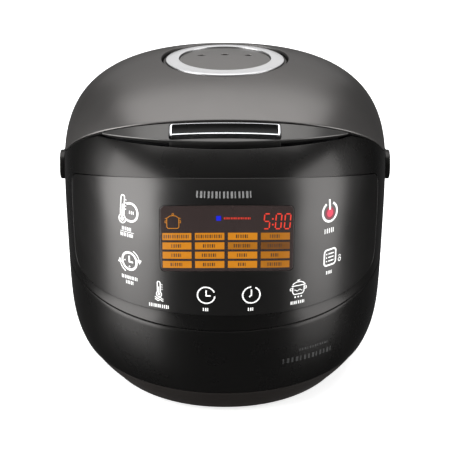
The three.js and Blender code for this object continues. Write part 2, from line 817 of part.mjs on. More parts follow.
const ventRimZ = [domeZ(ventY - ventRadius), domeZ(ventY + ventRadius)];
const ventTilt = Math.atan2(ventRimZ[1] - ventRimZ[0], 2 * ventRadius);
const ventPlace = new THREE.Matrix4()
  .makeTranslation(0, ventY, (ventRimZ[0] + ventRimZ[1]) / 2)
  .multiply(new THREE.Matrix4().makeRotationX(ventTilt));

// A cylinder on the vent's tilted axis, between two heights over the middle of its rim
function ventPost(radius, from, to, sides = planSteps) {
  const geometry = new THREE.CylinderGeometry(radius, radius, to - from, sides);
  geometry.rotateX(Math.PI / 2);
  geometry.translate(0, 0, (from + to) / 2);
  geometry.applyMatrix4(ventPlace);
  return solidOf(geometry);
}

const ventFloor = -ventDepth;
const ductEnd = -(ventRimZ[0] - deckZ - ductOverDeck);
const pinY = rearAt(seamRearZ) + hingeBehindWall;

function lidEar(side) {
  const front = pinY - earRun;
  const under = pinZ + earRise.under;
  const outline = [[pinY + knuckleRadius, pinZ], [pinY + 2, pinZ + earRise.atPin],
    [pinY - 7, pinZ + earRise.middle], [front, pinZ + earRise.atLid], [front, under], [pinY - 5, under]];
  const inner = side * (bracketHalfWidth + 1);
  const outer = side * (bracketHalfWidth + 1 + earWidth);
  const [x0, x1] = [Math.min(inner, outer), Math.max(inner, outer)];
  return union(alongX(outline, x0, x1), barX(pinY, pinZ, knuckleRadius, x0, x1));
}

function lidShell() {
  const z0 = seamRearZ - 2;
  const outside = common(bodySolid(z0, topZ), overSeam(seamGap / 2));
  const hollow = bodySolid(z0 - 4, topZ, skin);
  const pocket = common(ventPost(ventRadius + ventWall, ventFloor - 4, 30), outside);
  const ears = [-1, 1].map(side => cut(lidEar(side), hollow));
  const shell = union(cut(outside, hollow), pocket, ...ears);
  return cut(shell, ventPost(ventRadius, ventFloor, 40), ventPost(ductRadius + 1, -60, 40, 24),
    barX(pinY, pinZ, hingePinRadius + gap, -reach, reach));
}

function lidLiner() {
  const underZ = seamRearZ + seamGap / 2;
  const inLid = bodySolid(underZ - 1, topZ, skin + 2 * gap);
  const flange = common(inLid, overSeam(seamGap / 2));
  const plug = common(wellSolid(underZ, topZ, plugGap), inLid);
  const hollow = wellSolid(underZ + lining, topZ, plugGap + lining);
  return cut(union(flange, plug), overSeam(seamGap / 2 + lining), hollow,
    ventPost(ductRadius + gap, -120, 40, 24));
}

const sealOuter = bowlRim - 3;
const sealTopZ = seamRearZ + seamGap / 2 - gap;

const lidSeal = () => tube(sealOuter - sealWidth, sealOuter, sealTopZ - sealHeight, sealTopZ, bowlY);

function innerLidPlate() {
  const radius = sealOuter - sealWidth - gap;
  const plate = post(0, bowlY, radius, sealTopZ - lidPlateThickness, sealTopZ, planSteps);
  return cut(plate, ventPost(ductRadius + gap, -120, 40, 24));
}

function steamDuct() {
  const pipe = ventPost(ductRadius, ductEnd, ventFloor - 4 - gap, 24);
  return cut(pipe, ventPost(ductRadius - ductWall, ductEnd - 5, 40, 24));
}

const catchFrontY = -wellFront + 0.7;
const lidCatch = () => box(-latchHalfWidth, latchHalfWidth, catchFrontY, -wellFront + plugGap - gap,
  latchPin.z, latchPin.z + latchRise - 2.4);

// ---------------------------------------------------------------- steam valve, on the vent's axis

const valveRing = () => turned([[ringInner, ringRim.bottom], [ringOuter, ringRim.bottom],
  [ringOuter, ringRim.outer], [ringOuter - 1.2, ringRim.shoulder], [ringInner + 1, ringRim.crest],
  [ringInner, ringRim.inner], [ringInner, ringRim.bottom]]);

function valveCover() {
  const r = ringInner - gap;
  let cover = turned([[0, -1.5], [r, -2.5], [r, coverRise.edge], [0.75 * r, coverRise.quarter],
    [0.4 * r, coverRise.half], [0, coverRise.middle]]);
  for (const k of [-1, 0, 1]) {
    const hole = new THREE.CylinderGeometry(1, 1, 20, 12);
    hole.rotateX(Math.PI / 2);
    hole.scale(coverHole.halfWidth, coverHole.halfLength, 1);
    hole.translate(k * coverHole.pitch, coverHole.y, 0);
    cover = cover.subtract(solidOf(hole));
  }
  return cover;
}

function valveCup() {
  const floor = ventFloor + gap;
  const end = floor - cupSpigot;
  const outer = ductRadius - ductWall - 1;
  const bore = outer - cupThickness;
  return turned([[bore, end], [outer, end], [outer, floor], [cupRadius.floor, floor],
    [cupRadius.rim, cupRimLevel], [cupRadius.rim - cupThickness, cupRimLevel],
    [cupRadius.inside, floor + cupThickness], [bore, floor + cupThickness], [bore, end]], 0, 24);
}

const valveGasket = () => tube(ductRadius - ductWall - 1 + gap, ductRadius + 1 - gap,
  ventFloor - 3.6, ventFloor - gap, 0, 24);

// ---------------------------------------------------------------- button and latch

function buttonFrame() {
  const frame = ledgeBlock(-buttonHalfWidth, buttonHalfWidth, gap, buttonLength, buttonRise, buttonDepth);
  const inside = ledgeBlock(-buttonHalfWidth + buttonBorder.side, buttonHalfWidth - buttonBorder.side,
    buttonBorder.back, buttonLength - buttonBorder.front, 6, 9);
  const pushY = latchPin.y - latchArm;
  const stem = box(-stemSize.halfWidth, stemSize.halfWidth, pushY - stemSize.depth, pushY,
    latchPin.z + 4 + gap, ledgeLine(0).start.z - stemSize.belowSeam);
  return union(cut(frame, inside), stem);
}

const buttonInsert = () => ledgeBlock(-buttonHalfWidth + buttonBorder.side + gap,
  buttonHalfWidth - buttonBorder.side - gap, buttonBorder.back + gap,
  buttonLength - buttonBorder.front - gap, insertRise, insertDepth);

function latchHook() {
  const { y, z } = latchPin;
  const tip = catchFrontY - 0.4;
  const outline = [[y - latchArm - 3, z + 1], [y - 3, z - 3], [y + 3, z - 3], [y + 3, z + latchRise - 3],
    [tip, z + latchRise - 2], [tip - 1, z + latchRise + 2], [y - 2, z + latchRise + 2], [y - 2, z + 4],
    [y - latchArm - 3, z + 4]];
  const hook = alongX(outline, -latchHalfWidth, latchHalfWidth);
  return cut(hook, barX(y, z, latchPinRadius + gap, -reach, reach, 12));
}

const latchPinBar = () => barX(latchPin.y, latchPin.z, latchPinRadius, -bracketWall.outer - 1,
  bracketWall.outer + 1, 12);

// ---------------------------------------------------------------- hinge

function hingeBracket() {
  const low = pinZ - bracketDrop;
  const wallTop = seamRearZ - 2;
  const inner = bodyRear - 12;
  const ear = [[inner, low], [pinY + 2, low + 9], [pinY + knuckleRadius, pinZ], [pinY - knuckleRadius, pinZ],
    [pinY - knuckleRadius, wallTop], [inner, wallTop]];
  const plate = [[inner, low], [pinY - 8, low + 3], [pinY - 7, wallTop - 1], [inner, wallTop]];
  const pieces = [alongX(plate, -bracketHalfWidth, bracketHalfWidth)];
  for (const x of [-bracketHalfWidth, bracketHalfWidth - earWidth]) {
    pieces.push(alongX(ear, x, x + earWidth), barX(pinY, pinZ, knuckleRadius, x, x + earWidth));
  }
  return cut(union(...pieces), bodySolid(low - 20, wallTop + 10, -gap),
    barX(pinY, pinZ, hingePinRadius + gap, -reach, reach));
}

const hingePin = () => barX(pinY, pinZ, hingePinRadius, -bracketHalfWidth - earWidth - pinOverhang,
  bracketHalfWidth + earWidth + pinOverhang, 20);

// ---------------------------------------------------------------- handle

// The bail lies level here, and is drooped when it is placed
function handleBail() {
  const middle = bodyHalfWidth + handleGap + handleThickness / 2;
  const bow = handleReach - handleStraight;
  const path = [];
  for (let k = 0; k <= 2; k++) path.push([middle, (handleStraight * k) / 2]);
  for (let k = 1; k <= 20; k++) {
    const angle = (Math.PI * k) / 20;
    const x = middle * Math.sign(Math.cos(angle)) * Math.abs(Math.cos(angle)) ** handleSweep;
    path.push([x, handleStraight + bow * Math.sin(angle) ** handleSweep]);
  }
  for (let k = 1; k >= 0; k--) path.push([-middle, (handleStraight * k) / 2]);
  const rings = path.map(([x, y], i) => {
    const before = path[Math.max(0, i - 1)];
    const after = path[Math.min(path.length - 1, i + 1)];
    const along = new THREE.Vector2(after[0] - before[0], after[1] - before[1]).normalize();
    const thick = THREE.MathUtils.smoothstep(y, handleStraight, handleReach - 6);
    const t = THREE.MathUtils.lerp(handleThickness, gripThickness, thick) / 2;
    const h = THREE.MathUtils.lerp(handleHeight, gripHeight, thick) / 2;
    const edge = Math.min(t, h) * 0.55;
    const section = [[t, -h + edge], [t, h - edge], [t - edge, h], [-t + edge, h],
      [-t, h - edge], [-t, -h + edge], [-t + edge, -h], [t - edge, -h]];
    return section.map(([out, up]) => new THREE.Vector3(x + along.y * out, y - along.x * out, up));
  });
  const inner = middle - handleThickness / 2;
  const outer = middle + handleThickness / 2;
  const hubs = [barX(0, 0, hubRadius, inner, outer, 32), barX(0, 0, hubRadius, -outer, -inner, 32)];
  return cut(union(loft(rings), ...hubs), barX(0, 0, pivotRadius + gap, -reach, reach));
}

function handlePivot(side) {
  const outer = bodyHalfWidth + handleGap + handleThickness;
  const inner = outer - handleThickness - skin - pivotWasher.clearance;
  const ends = [side * inner, side * outer].sort((a, b) => a - b);
  const washer = [side * inner, side * (inner + pivotWasher.thickness)].sort((a, b) => a - b);
  return union(barX(handleY, handleZ, pivotRadius, ...ends),
    barX(handleY, handleZ, pivotRadius + pivotWasher.width, ...washer));
}

// ---------------------------------------------------------------- drip cup

const cupY = rearAt(cupZ + cupHeight) + cupGap;

function dripCup() {
  const corner = cupCorner;
  const block = (inset, z0, z1) => {
    const w = cupHalfWidth - inset;
    const shape = new THREE.Shape();
    shape.moveTo(-w, inset);
    shape.lineTo(w, inset);
    shape.lineTo(w, cupDepth - corner - inset);
    shape.absarc(w - corner, cupDepth - corner - inset, corner, 0, Math.PI / 2);
    shape.absarc(-w + corner, cupDepth - corner - inset, corner, Math.PI / 2, Math.PI);
    const settings = { depth: z1 - z0, bevelEnabled: false, curveSegments: 4 };
    return solidOf(new THREE.ExtrudeGeometry(shape, settings).translate(0, cupY, z0));
  };
  return cut(block(0, cupZ, cupZ + cupHeight), block(cupWall, cupZ + cupWall, cupZ + cupHeight + 1));
}

// ---------------------------------------------------------------- materials and assembly

function finish(color, roughness, metalness = 0, opacity = 1) {
  return new THREE.MeshStandardMaterial({ color, roughness, metalness, opacity, transparent: opacity < 1 });
}

const finishes = {
  lid: () => finish(0x8f8c8a, 0.38, 0.6),
  body: () => finish(0x3c3b3b, 0.35, 0.5),
  panel: () => finish(0x454443, 0.3, 0.5),
  darkPlastic: () => finish(0x1f1b19, 0.55),
  innerPlastic: () => finish(0x2a2a2b, 0.6),
  glossBlack: () => finish(0x18181a, 0.1),
  chrome: () => finish(0xd8dadd, 0.12, 1),
  steel: () => finish(0xb4b6b8, 0.3, 1),
  aluminium: () => finish(0xc3c4c6, 0.4, 1),
  coating: () => finish(0x35332f, 0.45, 0.2),
  silicone: () => finish(0xc9c9c6, 0.6),
  rubber: () => finish(0x161616, 0.85),
  board: () => finish(0x1d5a34, 0.5),
  clear: () => finish(0xc4ccd0, 0.15, 0, 0.5),
};

const model = new THREE.Group();
const onAxis = new THREE.Group(); // everything that is placed from the body's own axis
model.add(onAxis);

function add(name, solid, material, parent = onAxis) {
  const geometry = solid.isBufferGeometry ? solid : geometryOf(solid);
  const mesh = new THREE.Mesh(geometry, finishes[material]());
  mesh.name = name;
  parent.add(mesh);
  return mesh;
}

add('base_tray', baseTray(), 'darkPlastic');
footSpots.forEach(([x, y], i) => add(`foot_${i + 1}`, foot(x, y), 'rubber'));
screwSpots.forEach(([x, y], i) => add(`base_screw_${i + 1}`, baseScrew(x, y), 'steel'));
add('lower_shell', lowerShell(), 'body');
add('upper_shell', upperShell(), 'body');
add('control_panel', controlPanel(), 'panel');
add('display_window', displayWindow(), 'glossBlack');
add('display_module', displayModule(), 'innerPlastic');
add('control_board', controlBoard(), 'board');
add('bowl_deck', bowlDeck(), 'innerPlastic');

add('cooking_bowl', cookingBowl(), 'coating');
add('inner_chamber', innerChamber(), 'aluminium');
add('heating_plate', heatingPlate(), 'aluminium');
add('side_heater', sideHeaterBand(), 'steel');
add('thermal_sensor', thermalSensor(), 'aluminium');
add('sensor_holder', sensorHolder(), 'steel');
const sensorSpring = coil(sensorStem + 2.2, 0.6, sensorCapZ - holderTopZ - 2 * gap, 3);
add('sensor_spring', sensorSpring, 'steel').position.set(0, bowlY, holderTopZ + gap);
add('thermal_fuse', thermalFuse(), 'steel');

add('power_board', powerBoard(), 'board');
add('transformer', transformer(), 'innerPlastic');
add('relay', relay(), 'innerPlastic');
add('capacitor', capacitor(), 'innerPlastic');
add('inlet_socket', inletSocket(), 'darkPlastic');
inletPins.forEach(([x, z], i) => add(`inlet_pin_${i + 1}`, inletPin(x, z), 'steel'));

add('lid_shell', lidShell(), 'lid');
add('lid_liner', lidLiner(), 'innerPlastic');
add('lid_seal', lidSeal(), 'silicone');
add('inner_lid_plate', innerLidPlate(), 'aluminium');
add('steam_duct', steamDuct(), 'silicone');
add('lid_catch', lidCatch(), 'steel');

const valve = new THREE.Group();
valve.applyMatrix4(ventPlace);
onAxis.add(valve);
add('valve_ring', valveRing(), 'chrome', valve);
add('valve_cover', valveCover(), 'lid', valve);
add('valve_cup', valveCup(), 'innerPlastic', valve);
add('valve_gasket', valveGasket(), 'silicone', valve);

add('button_frame', buttonFrame(), 'chrome');
add('button_insert', buttonInsert(), 'glossBlack');
add('latch_hook', latchHook(), 'innerPlastic');
add('latch_pin', latchPinBar(), 'steel');

add('hinge_bracket', hingeBracket(), 'body');
add('hinge_pin', hingePin(), 'steel');
const lidSpringReach = bracketHalfWidth - earWidth - springClearance;
const lidSpring = add('lid_spring', coil(hingePinRadius + 1.7, 0.7, 2 * lidSpringReach, 5), 'steel');
lidSpring.rotation.y = Math.PI / 2;
lidSpring.position.set(-lidSpringReach, pinY, pinZ);

const handle = add('carry_handle', handleBail(), 'body');
handle.position.set(0, handleY, handleZ);
handle.rotation.x = -THREE.MathUtils.degToRad(handleDroop);
add('handle_pivot_left', handlePivot(-1), 'innerPlastic');
add('handle_pivot_right', handlePivot(1), 'innerPlastic');
add('drip_cup', dripCup(), 'clear');

// The origin is under the middle of the whole object
onAxis.updateMatrixWorld(true);
const whole = new THREE.Box3().setFromObject(onAxis, true);
onAxis.position.y = -(whole.min.y + whole.max.y) / 2;

export default model;
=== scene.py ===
# The looks of a domed electric multicooker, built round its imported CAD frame.
# Sizes here are millimetres measured from the body's own upright axis, as in the CAD source.

import math

import bmesh
import bpy
import numpy as np
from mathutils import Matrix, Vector
from mathutils.geometry import delaunay_2d_cdt


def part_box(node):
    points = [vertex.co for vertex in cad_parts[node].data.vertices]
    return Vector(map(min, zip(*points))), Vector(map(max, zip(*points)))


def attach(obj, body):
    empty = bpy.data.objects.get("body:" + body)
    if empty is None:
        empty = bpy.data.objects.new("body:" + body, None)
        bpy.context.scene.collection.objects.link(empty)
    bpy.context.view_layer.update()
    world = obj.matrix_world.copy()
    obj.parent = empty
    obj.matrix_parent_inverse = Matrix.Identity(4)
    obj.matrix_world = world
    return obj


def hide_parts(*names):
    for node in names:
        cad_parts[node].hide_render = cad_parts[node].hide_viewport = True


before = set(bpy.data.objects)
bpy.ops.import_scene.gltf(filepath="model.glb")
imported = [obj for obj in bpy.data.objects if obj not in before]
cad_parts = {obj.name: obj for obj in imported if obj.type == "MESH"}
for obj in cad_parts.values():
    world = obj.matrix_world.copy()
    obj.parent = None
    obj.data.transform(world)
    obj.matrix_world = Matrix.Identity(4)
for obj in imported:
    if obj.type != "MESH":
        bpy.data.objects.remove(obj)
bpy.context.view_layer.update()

# ------------------------------------------------------------------ sizes shared with the CAD

MM = 0.001
BODY = {"side": 141, "front": 169, "rear": 160.5, "power": 2.083}
BASE = {"side": 110, "front": 152, "rear": 144}
HEEL = {"side": 8.5, "end": 10}
DOME = {"side": (3.23, 2.51), "end": (2.43, 2.13)}
TAPER = 0.028
WAIST_Z = 157
TOP_Z = 269
DECK_Z = 180
BASE_Z = 4
BASE_TOP_Z = 21
SEAM_REAR_Z = 186
SEAM_FRONT_Y = 122
SEAM_KNEE = 30
SEAM_BLEND = 20
SEAM_GAP = 1.5
LOWER_SEAM = {"front": 79, "slope": 0.125, "gap": 0.3, "edge": 1.5}
CRESCENT = {"half_width": 103, "drop": 12}
BUTTON = {"half_width": 44, "length": 16, "gap": 0.5, "back": 1.5, "border": 1.6, "lip_from": 10.8}
PANEL = {"top": 206, "slope": 0.28, "bottom": 93, "curve": 0.0014, "rear": -73}
WINDOW = {"x": 1.5, "z": 155.25, "half_width": 53, "half_height": 27.25, "arch": 4}
VENT = {"y": -8, "radius": 54.7, "depth": 21, "ring_outer": 51.2, "ring_inner": 39.4,
        "ring_low": -7.9, "hole_pitch": 20.2, "hole_y": 8}
BOWL = {"y": 7, "floor": 51, "radius": 108.5, "wall": 1.5, "rim": 114, "heel": 20}
WELL = {"side": 126, "front": 114.5, "rear": 140, "power": 2.3}
HANDLE = {"y": 4, "z": 166, "reach": 196, "straight": 64, "droop": 5,
          "gap": 0.5, "thick": 4.6, "back_thick": 13, "high": 17, "bow": 0.77}
HUB = {"radius": 13, "bore": 6.4, "thick": 4.58}
PIVOT = {"radius": 6, "depth": 8, "below_hub": 0.1}
HINGE = {"y": 168.6457, "z": 190, "radius": 5.5, "inner": 29, "outer": 35}
SLOT = {"y": 20, "pitch": 11, "half_length": 23, "half_width": 2}
SCREW = {"x": 84, "y": 70, "radius": 4.2}
SKIN = 3
PANE_DEPTH = 0.2
CAMERA = {"distance": 1.25, "height": 0.565, "pitch": 20.26, "lens": 118.052, "shift": 0.0138}

seal_low, seal_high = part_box("lid_seal")
AXIS_Y = (seal_low.y + seal_high.y) / 2 - BOWL["y"] * MM


# ------------------------------------------------------------------ the body's outline

def reach_at(z, full, base, heel, dome):
    """Half-size of the body at height z."""
    z = np.asarray(z, float)
    down = np.clip((WAIST_Z - z) / (WAIST_Z - BASE_Z), 0, 1)
    eased = np.sqrt(down ** 2 + 0.01) - 0.1
    tucked = full * (1 - TAPER) - base
    below = full * (1 - TAPER * eased) - tucked * down ** heel
    up = np.clip((z - WAIST_Z) / (TOP_Z - WAIST_Z), 0, 1 - 1e-9)
    above = full * (1 - up ** dome[0]) ** (1 / dome[1])
    return np.where(z <= WAIST_Z, below, above)


def side_at(z):
    return reach_at(z, BODY["side"], BASE["side"], HEEL["side"], DOME["side"])


def end_at(z, y):
    front = reach_at(z, BODY["front"], BASE["front"], HEEL["end"], DOME["end"])
    rear = reach_at(z, BODY["rear"], BASE["rear"], HEEL["end"], DOME["end"])
    return np.where(np.asarray(y) < 0, front, rear)


def front_point(x, z):
    """Point of the outline's front half at x and z."""
    p = BODY["power"]
    share = np.clip(np.abs(x) / side_at(z), 0, 1)
    return np.stack([x, -end_at(z, -1) * (1 - share ** p) ** (1 / p), z], -1)


def on_body(x, z):
    """(turn, height) of the outline's front half at x and z."""
    return np.stack([np.arctan2(x, -front_point(x, z)[..., 1]), z], -1)


def gauge(x, y, z):
    """Below 1 inside the body's outline at height z, and above 1 outside."""
    p = BODY["power"]
    return (np.abs(x) / side_at(z)) ** p + (np.abs(y) / end_at(z, y)) ** p


def halve(inside, low, high, steps=44):
    """The value between low and high up to which inside(value) holds, for whole arrays."""
    low, high = np.array(low, float), np.array(high, float)
    for _ in range(steps):
        middle = (low + high) / 2
        holds = inside(middle)
        low = np.where(holds, middle, low)
        high = np.where(holds, high, middle)
    return low


def body_point(a, z):
    """Point of the outline at turn a from the front, towards +X, and height z."""
    a, z = np.broadcast_arrays(np.asarray(a, float), np.asarray(z, float))
    s, c = np.sin(a), -np.cos(a)
    p = BODY["power"]
    r = ((np.abs(s) / side_at(z)) ** p + (np.abs(c) / end_at(z, c)) ** p) ** (-1 / p)
    return np.stack([r * s, r * c, z], -1)


def dome_height(x, y):
    return halve(lambda z: gauge(x, y, z) < 1, np.full(np.shape(x), WAIST_Z), np.full(np.shape(x), TOP_Z))


def seam_z(y):
    slope = (seam_front_z - SEAM_REAR_Z) / (SEAM_FRONT_Y - SEAM_KNEE)
    forward = -SEAM_KNEE - np.asarray(y, float)
    share = np.clip((forward + SEAM_BLEND) / (2 * SEAM_BLEND), 0, 1)
    knee = slope * SEAM_BLEND * share ** 2
    return SEAM_REAR_Z + np.where(forward > SEAM_BLEND, slope * forward, knee)


seam_front_z = float(halve(lambda z: end_at(z, -1) > SEAM_FRONT_Y, WAIST_Z, TOP_Z))


def lower_seam_z(y):
    return LOWER_SEAM["front"] + LOWER_SEAM["slope"] * (np.minimum(y, 0) + BODY["front"])


def panel_top(y):
    return PANEL["top"] - PANEL["slope"] * (y + BODY["front"] - 12)


def panel_bottom(y):
    return PANEL["bottom"] + PANEL["curve"] * np.maximum(0, y + BODY["front"] - 12) ** 2


def height_on(a, line, low=25, high=TOP_Z - 1):
    """Height at which the outline at turn a crosses a line given as z over y."""
    a = np.asarray(a, float)
    return halve(lambda z: z < line(body_point(a, z)[..., 1]),
                 np.full(a.shape, float(low)), np.full(a.shape, float(high)))


def turn_of(y, z):
    """Turn from the front, on the +X side, of the outline's point at depth y and height z."""
    p = BODY["power"]
    share = np.clip(np.abs(y) / end_at(z, y), 0, 1)
    return np.arctan2(side_at(z) * (1 - share ** p) ** (1 / p), -y)


# ------------------------------------------------------------------ meshes

def unit(v):
    return v / np.maximum(np.linalg.norm(v, axis=-1, keepdims=True), 1e-12)


def make(name, verts, faces, material, body, slot=None, stands_for=(), normals=None, sharp=38):
    mesh = bpy.data.meshes.new(name)
    placed = np.asarray(verts, float) * MM
    placed[:, 1] += AXIS_Y
    mesh.from_pydata(placed.tolist(), [], [list(map(int, f)) for f in faces])
    mesh.update()
    if normals is None:
        work = bmesh.new()
        work.from_mesh(mesh)
        bmesh.ops.remove_doubles(work, verts=work.verts, dist=1e-6)
        bmesh.ops.recalc_face_normals(work, faces=work.faces)
        work.to_mesh(mesh)
        work.free()
        mesh.polygons.foreach_set("use_smooth", [True] * len(mesh.polygons))
        mesh.set_sharp_from_angle(angle=math.radians(sharp))
    else:
        mesh.polygons.foreach_set("use_smooth", [True] * len(mesh.polygons))
        mesh.normals_split_custom_set_from_vertices(np.asarray(normals, float).tolist())
    mesh.materials.append(material)
    piece = bpy.data.objects.new(name, mesh)
    bpy.context.scene.collection.objects.link(piece)
    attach(piece, body)
    if stands_for:
        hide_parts(*stands_for)
    return piece


def skinned(rows, wrap=False, closed=True, start=0):
    """Faces that join rows of equally many points; wrap joins the last row to the first."""
    count, n = len(rows), len(rows[0])
    faces = []
    for r in range(count if wrap else count - 1):
        s = (r + 1) % count
        for i in range(n if closed else n - 1):
            j = (i + 1) % n
            faces.append((start + r * n + i, start + r * n + j, start + s * n + j, start + s * n + i))
    return faces


def capped(rows):
    """Rows of a loft, closed by a fan at each end."""
    verts = [np.asarray(row, float) for row in rows]
    n, count = len(verts[0]), len(verts) * len(verts[0])
    faces = skinned(verts)
    for k, offset in enumerate((0, count - n)):
        faces += [(offset + i, offset + (i + 1) % n, count + k) for i in range(n)]
    return np.vstack(verts + [[verts[0].mean(0), verts[-1].mean(0)]]), faces


def loft(name, rows, material, body, slot, stands_for=(), sharp=38):
    """A piece lofted through closed rows of points, open at both ends."""
    make(name, np.vstack(rows), skinned(rows), material, body, slot, stands_for, sharp=sharp)


def skin(name, surface, material, body, slot, stands_for, outer, holes=(), rolled=(), spacing=4.0):
    """A piece cut from a surface, with the rolled edges given as rows."""
    verts, faces, normals = trimmed(surface, outer, holes, rolled, spacing)
    make(name, verts, faces, material, body, slot, stands_for, normals)


def around(row):
    """Direction along a closed row of points."""
    return unit(np.roll(row, -1, 0) - np.roll(row, 1, 0))


def rounded_edge(row, inner_row, normal, radius, wall, steps=4):
    """Rows that carry a skin's edge over a round and down a wall. inner_row tells which way is in."""
    out = np.cross(around(row), normal)
    flip = np.sign(((row - inner_row) * out).sum(-1, keepdims=True))
    out = unit(out * np.where(flip == 0, 1, flip))
    rows = []
    for k in range(1, steps + 1):
        t = math.pi / 2 * k / steps
        rows.append(row + out * radius * math.sin(t) - normal * radius * (1 - math.cos(t)))
    rows.append(row + out * radius - normal * wall)
    return rows


def body_normal(p):
    """Outward normal of the body's outline at points on it."""
    h = 0.02
    x, y, z = p[..., 0], p[..., 1], p[..., 2]
    up = np.minimum(z + h, TOP_Z - 1e-4)
    return unit(np.stack([gauge(x + h, y, z) - gauge(x - h, y, z),
                          gauge(x, y + h, z) - gauge(x, y - h, z),
                          (gauge(x, y, up) - gauge(x, y, z - h)) * 2 * h / (up - z + h)], -1))


def shell(outer, wall, radius):
    """A closed skin from outer rows: rounded edges at both ends and a plain inside."""
    normals = [body_normal(row) for row in outer]
    low = rounded_edge(outer[0], outer[1], normals[0], radius, wall)
    high = rounded_edge(outer[-1], outer[-2], normals[-1], radius, wall)
    inside = [row - n * wall for row, n in zip(outer[1:-1:3], normals[1:-1:3])]
    rows = low[::-1] + outer + high + inside[::-1]
    return np.vstack(rows), skinned(rows, wrap=True)


def lathe(profile, steps=128, place=None, y=0):
    """Rows of a [radius, height] profile turned about an upright axis, or about a placed one."""
    t = np.linspace(0, 2 * math.pi, steps, endpoint=False)
    rows = []
    for r, z in profile:
        row = np.stack([r * np.sin(t), r * np.cos(t), np.full(steps, z)], -1)
        if place is not None:
            row = row @ place[0].T + place[1]
        row[:, 1] += y
        rows.append(row)
    return rows


def arc(cx, cy, radius, start, end, steps=5):
    """Points on an arc, with its angles in degrees."""
    return [(cx + radius * math.cos(math.radians(start + (end - start) * k / steps)),
             cy + radius * math.sin(math.radians(start + (end - start) * k / steps)))
            for k in range(steps + 1)]


# ------------------------------------------------------------------ trimmed skins

class Surface:
    """A surface given by point(u, v), where u runs right and v up as seen from outside."""

    def __init__(self, point, params, step=(1e-3, 0.05), metric=150.0):
        self.at, self.params, self.step, self.metric = point, params, step, metric

    def point(self, uv):
        return self.at(uv[:, 0], uv[:, 1])

    def normal(self, uv):
        du, dv = self.step
        u, v = uv[:, 0], uv[:, 1]
        across = self.at(u + du, v) - self.at(u - du, v)
        up = self.at(u, v + dv) - self.at(u, v - dv)
        return unit(np.cross(across, up))


def along(points, closed):
    if closed:
        return around(points)
    return unit(np.gradient(points, axis=0))


def roll_curve(surface, curve, closed, radius, gap, wall, steps=4, upright=False):
    """Insets a boundary curve and returns it with the rows that round its edge.
    Counter-clockwise round the outside, clockwise round a hole. An upright wall runs straight down."""
    def side(uv):
        p, n = surface.point(uv), surface.normal(uv)
        return p, n, unit(np.cross(along(p, closed), n))
    p, n, out = side(curve)
    inner = surface.params(p - out * (radius + gap), curve)
    p, n, out = side(inner)
    rows = [(p, n)]
    for k in range(1, steps + 1):
        t = math.pi / 2 * k / steps
        rows.append((p + out * radius * math.sin(t) - n * radius * (1 - math.cos(t)),
                     unit(n * math.cos(t) + out * math.sin(t))))
    if upright:
        rows.append((rows[-1][0] - [0, 0, wall], unit(out * [1, 1, 0])))
    else:
        rows.append((p + out * radius - n * wall, out))
    return inner, rows


def contains(loop, points):
    x, y = points[:, :1], points[:, 1:]
    x0, y0 = loop[:, 0], loop[:, 1]
    x1, y1 = np.roll(x0, -1), np.roll(y0, -1)
    crosses = (y0 > y) != (y1 > y)
    span = np.where(y1 == y0, 1e-12, y1 - y0)
    return (crosses & (x < x0 + (y - y0) * (x1 - x0) / span)).sum(1) % 2 == 1


def fill(surface, outer, holes, spacing):
    """Triangles over the region inside outer and outside the holes."""
    scale = np.array([surface.metric, 1.0])
    loops = [outer * scale] + [hole * scale for hole in holes]
    low, high = loops[0].min(0), loops[0].max(0)
    us = np.arange(low[0] + spacing / 2, high[0], spacing)
    vs = np.arange(low[1] + spacing / 2, high[1], spacing)
    points = np.stack(np.meshgrid(us, vs), -1).reshape(-1, 2)
    keep = contains(loops[0], points)
    for hole in loops[1:]:
        keep &= ~contains(hole, points)
    points = points[keep]
    rim = np.vstack(loops)
    near = np.full(len(points), np.inf)
    for part in np.array_split(rim, max(1, len(rim) // 400)):
        near = np.minimum(near, np.linalg.norm(points[:, None] - part[None], axis=2).min(1))
    points = points[near > spacing * 0.5]
    verts = np.vstack([rim, points])
    edges, start = [], 0
    for loop in loops:
        n = len(loop)
        edges += [(start + i, start + (i + 1) % n) for i in range(n)]
        start += n
    found, _, triangles, _, _, _ = delaunay_2d_cdt(
        [Vector(p) for p in verts], edges, [], 0, 1e-5)
    found = np.array([tuple(p) for p in found])
    triangles = np.array([t for t in triangles if len(t) == 3])
    middle = found[triangles].mean(1)
    keep = contains(loops[0], middle)
    for hole in loops[1:]:
        keep &= ~contains(hole, middle)
    triangles = triangles[keep]
    a, b, c = (found[triangles[:, k]] for k in range(3))
    clockwise = (b[:, 0] - a[:, 0]) * (c[:, 1] - a[:, 1]) < (b[:, 1] - a[:, 1]) * (c[:, 0] - a[:, 0])
    triangles[clockwise] = triangles[clockwise][:, ::-1]
    uv = found / scale
    return surface.point(uv), surface.normal(uv), triangles.tolist()


def trimmed(surface, outer, holes, rolled, spacing=4.0):
    """A filled skin with rolled edges, as vertices, faces and normals."""
    p, n, faces = fill(surface, outer, holes, spacing)
    verts, normals = [p], [n]
    start = len(p)
    for rows, closed in rolled:
        count = len(rows[0][0])
        for r in range(len(rows) - 1):
            for i in range(count if closed else count - 1):
                j = (i + 1) % count
                lower, upper = start + r * count, start + (r + 1) * count
                faces.append((lower + i, upper + i, upper + j, lower + j))
        verts += [row[0] for row in rows]
        normals += [row[1] for row in rows]
        start += count * len(rows)
    return np.vstack(verts), faces, np.vstack(normals)


def rounded_rect(x0, x1, y0, y1, radius, spacing=2.0, steps=8):
    """Counter-clockwise outline with round corners."""
    corners = [(x1 - radius, y0 + radius, -90), (x1 - radius, y1 - radius, 0),
               (x0 + radius, y1 - radius, 90), (x0 + radius, y0 + radius, 180)]
    points = []
    for cx, cy, start in corners:
        points += arc(cx, cy, radius, start, start + 90, steps)
    return resampled(np.array(points), spacing)


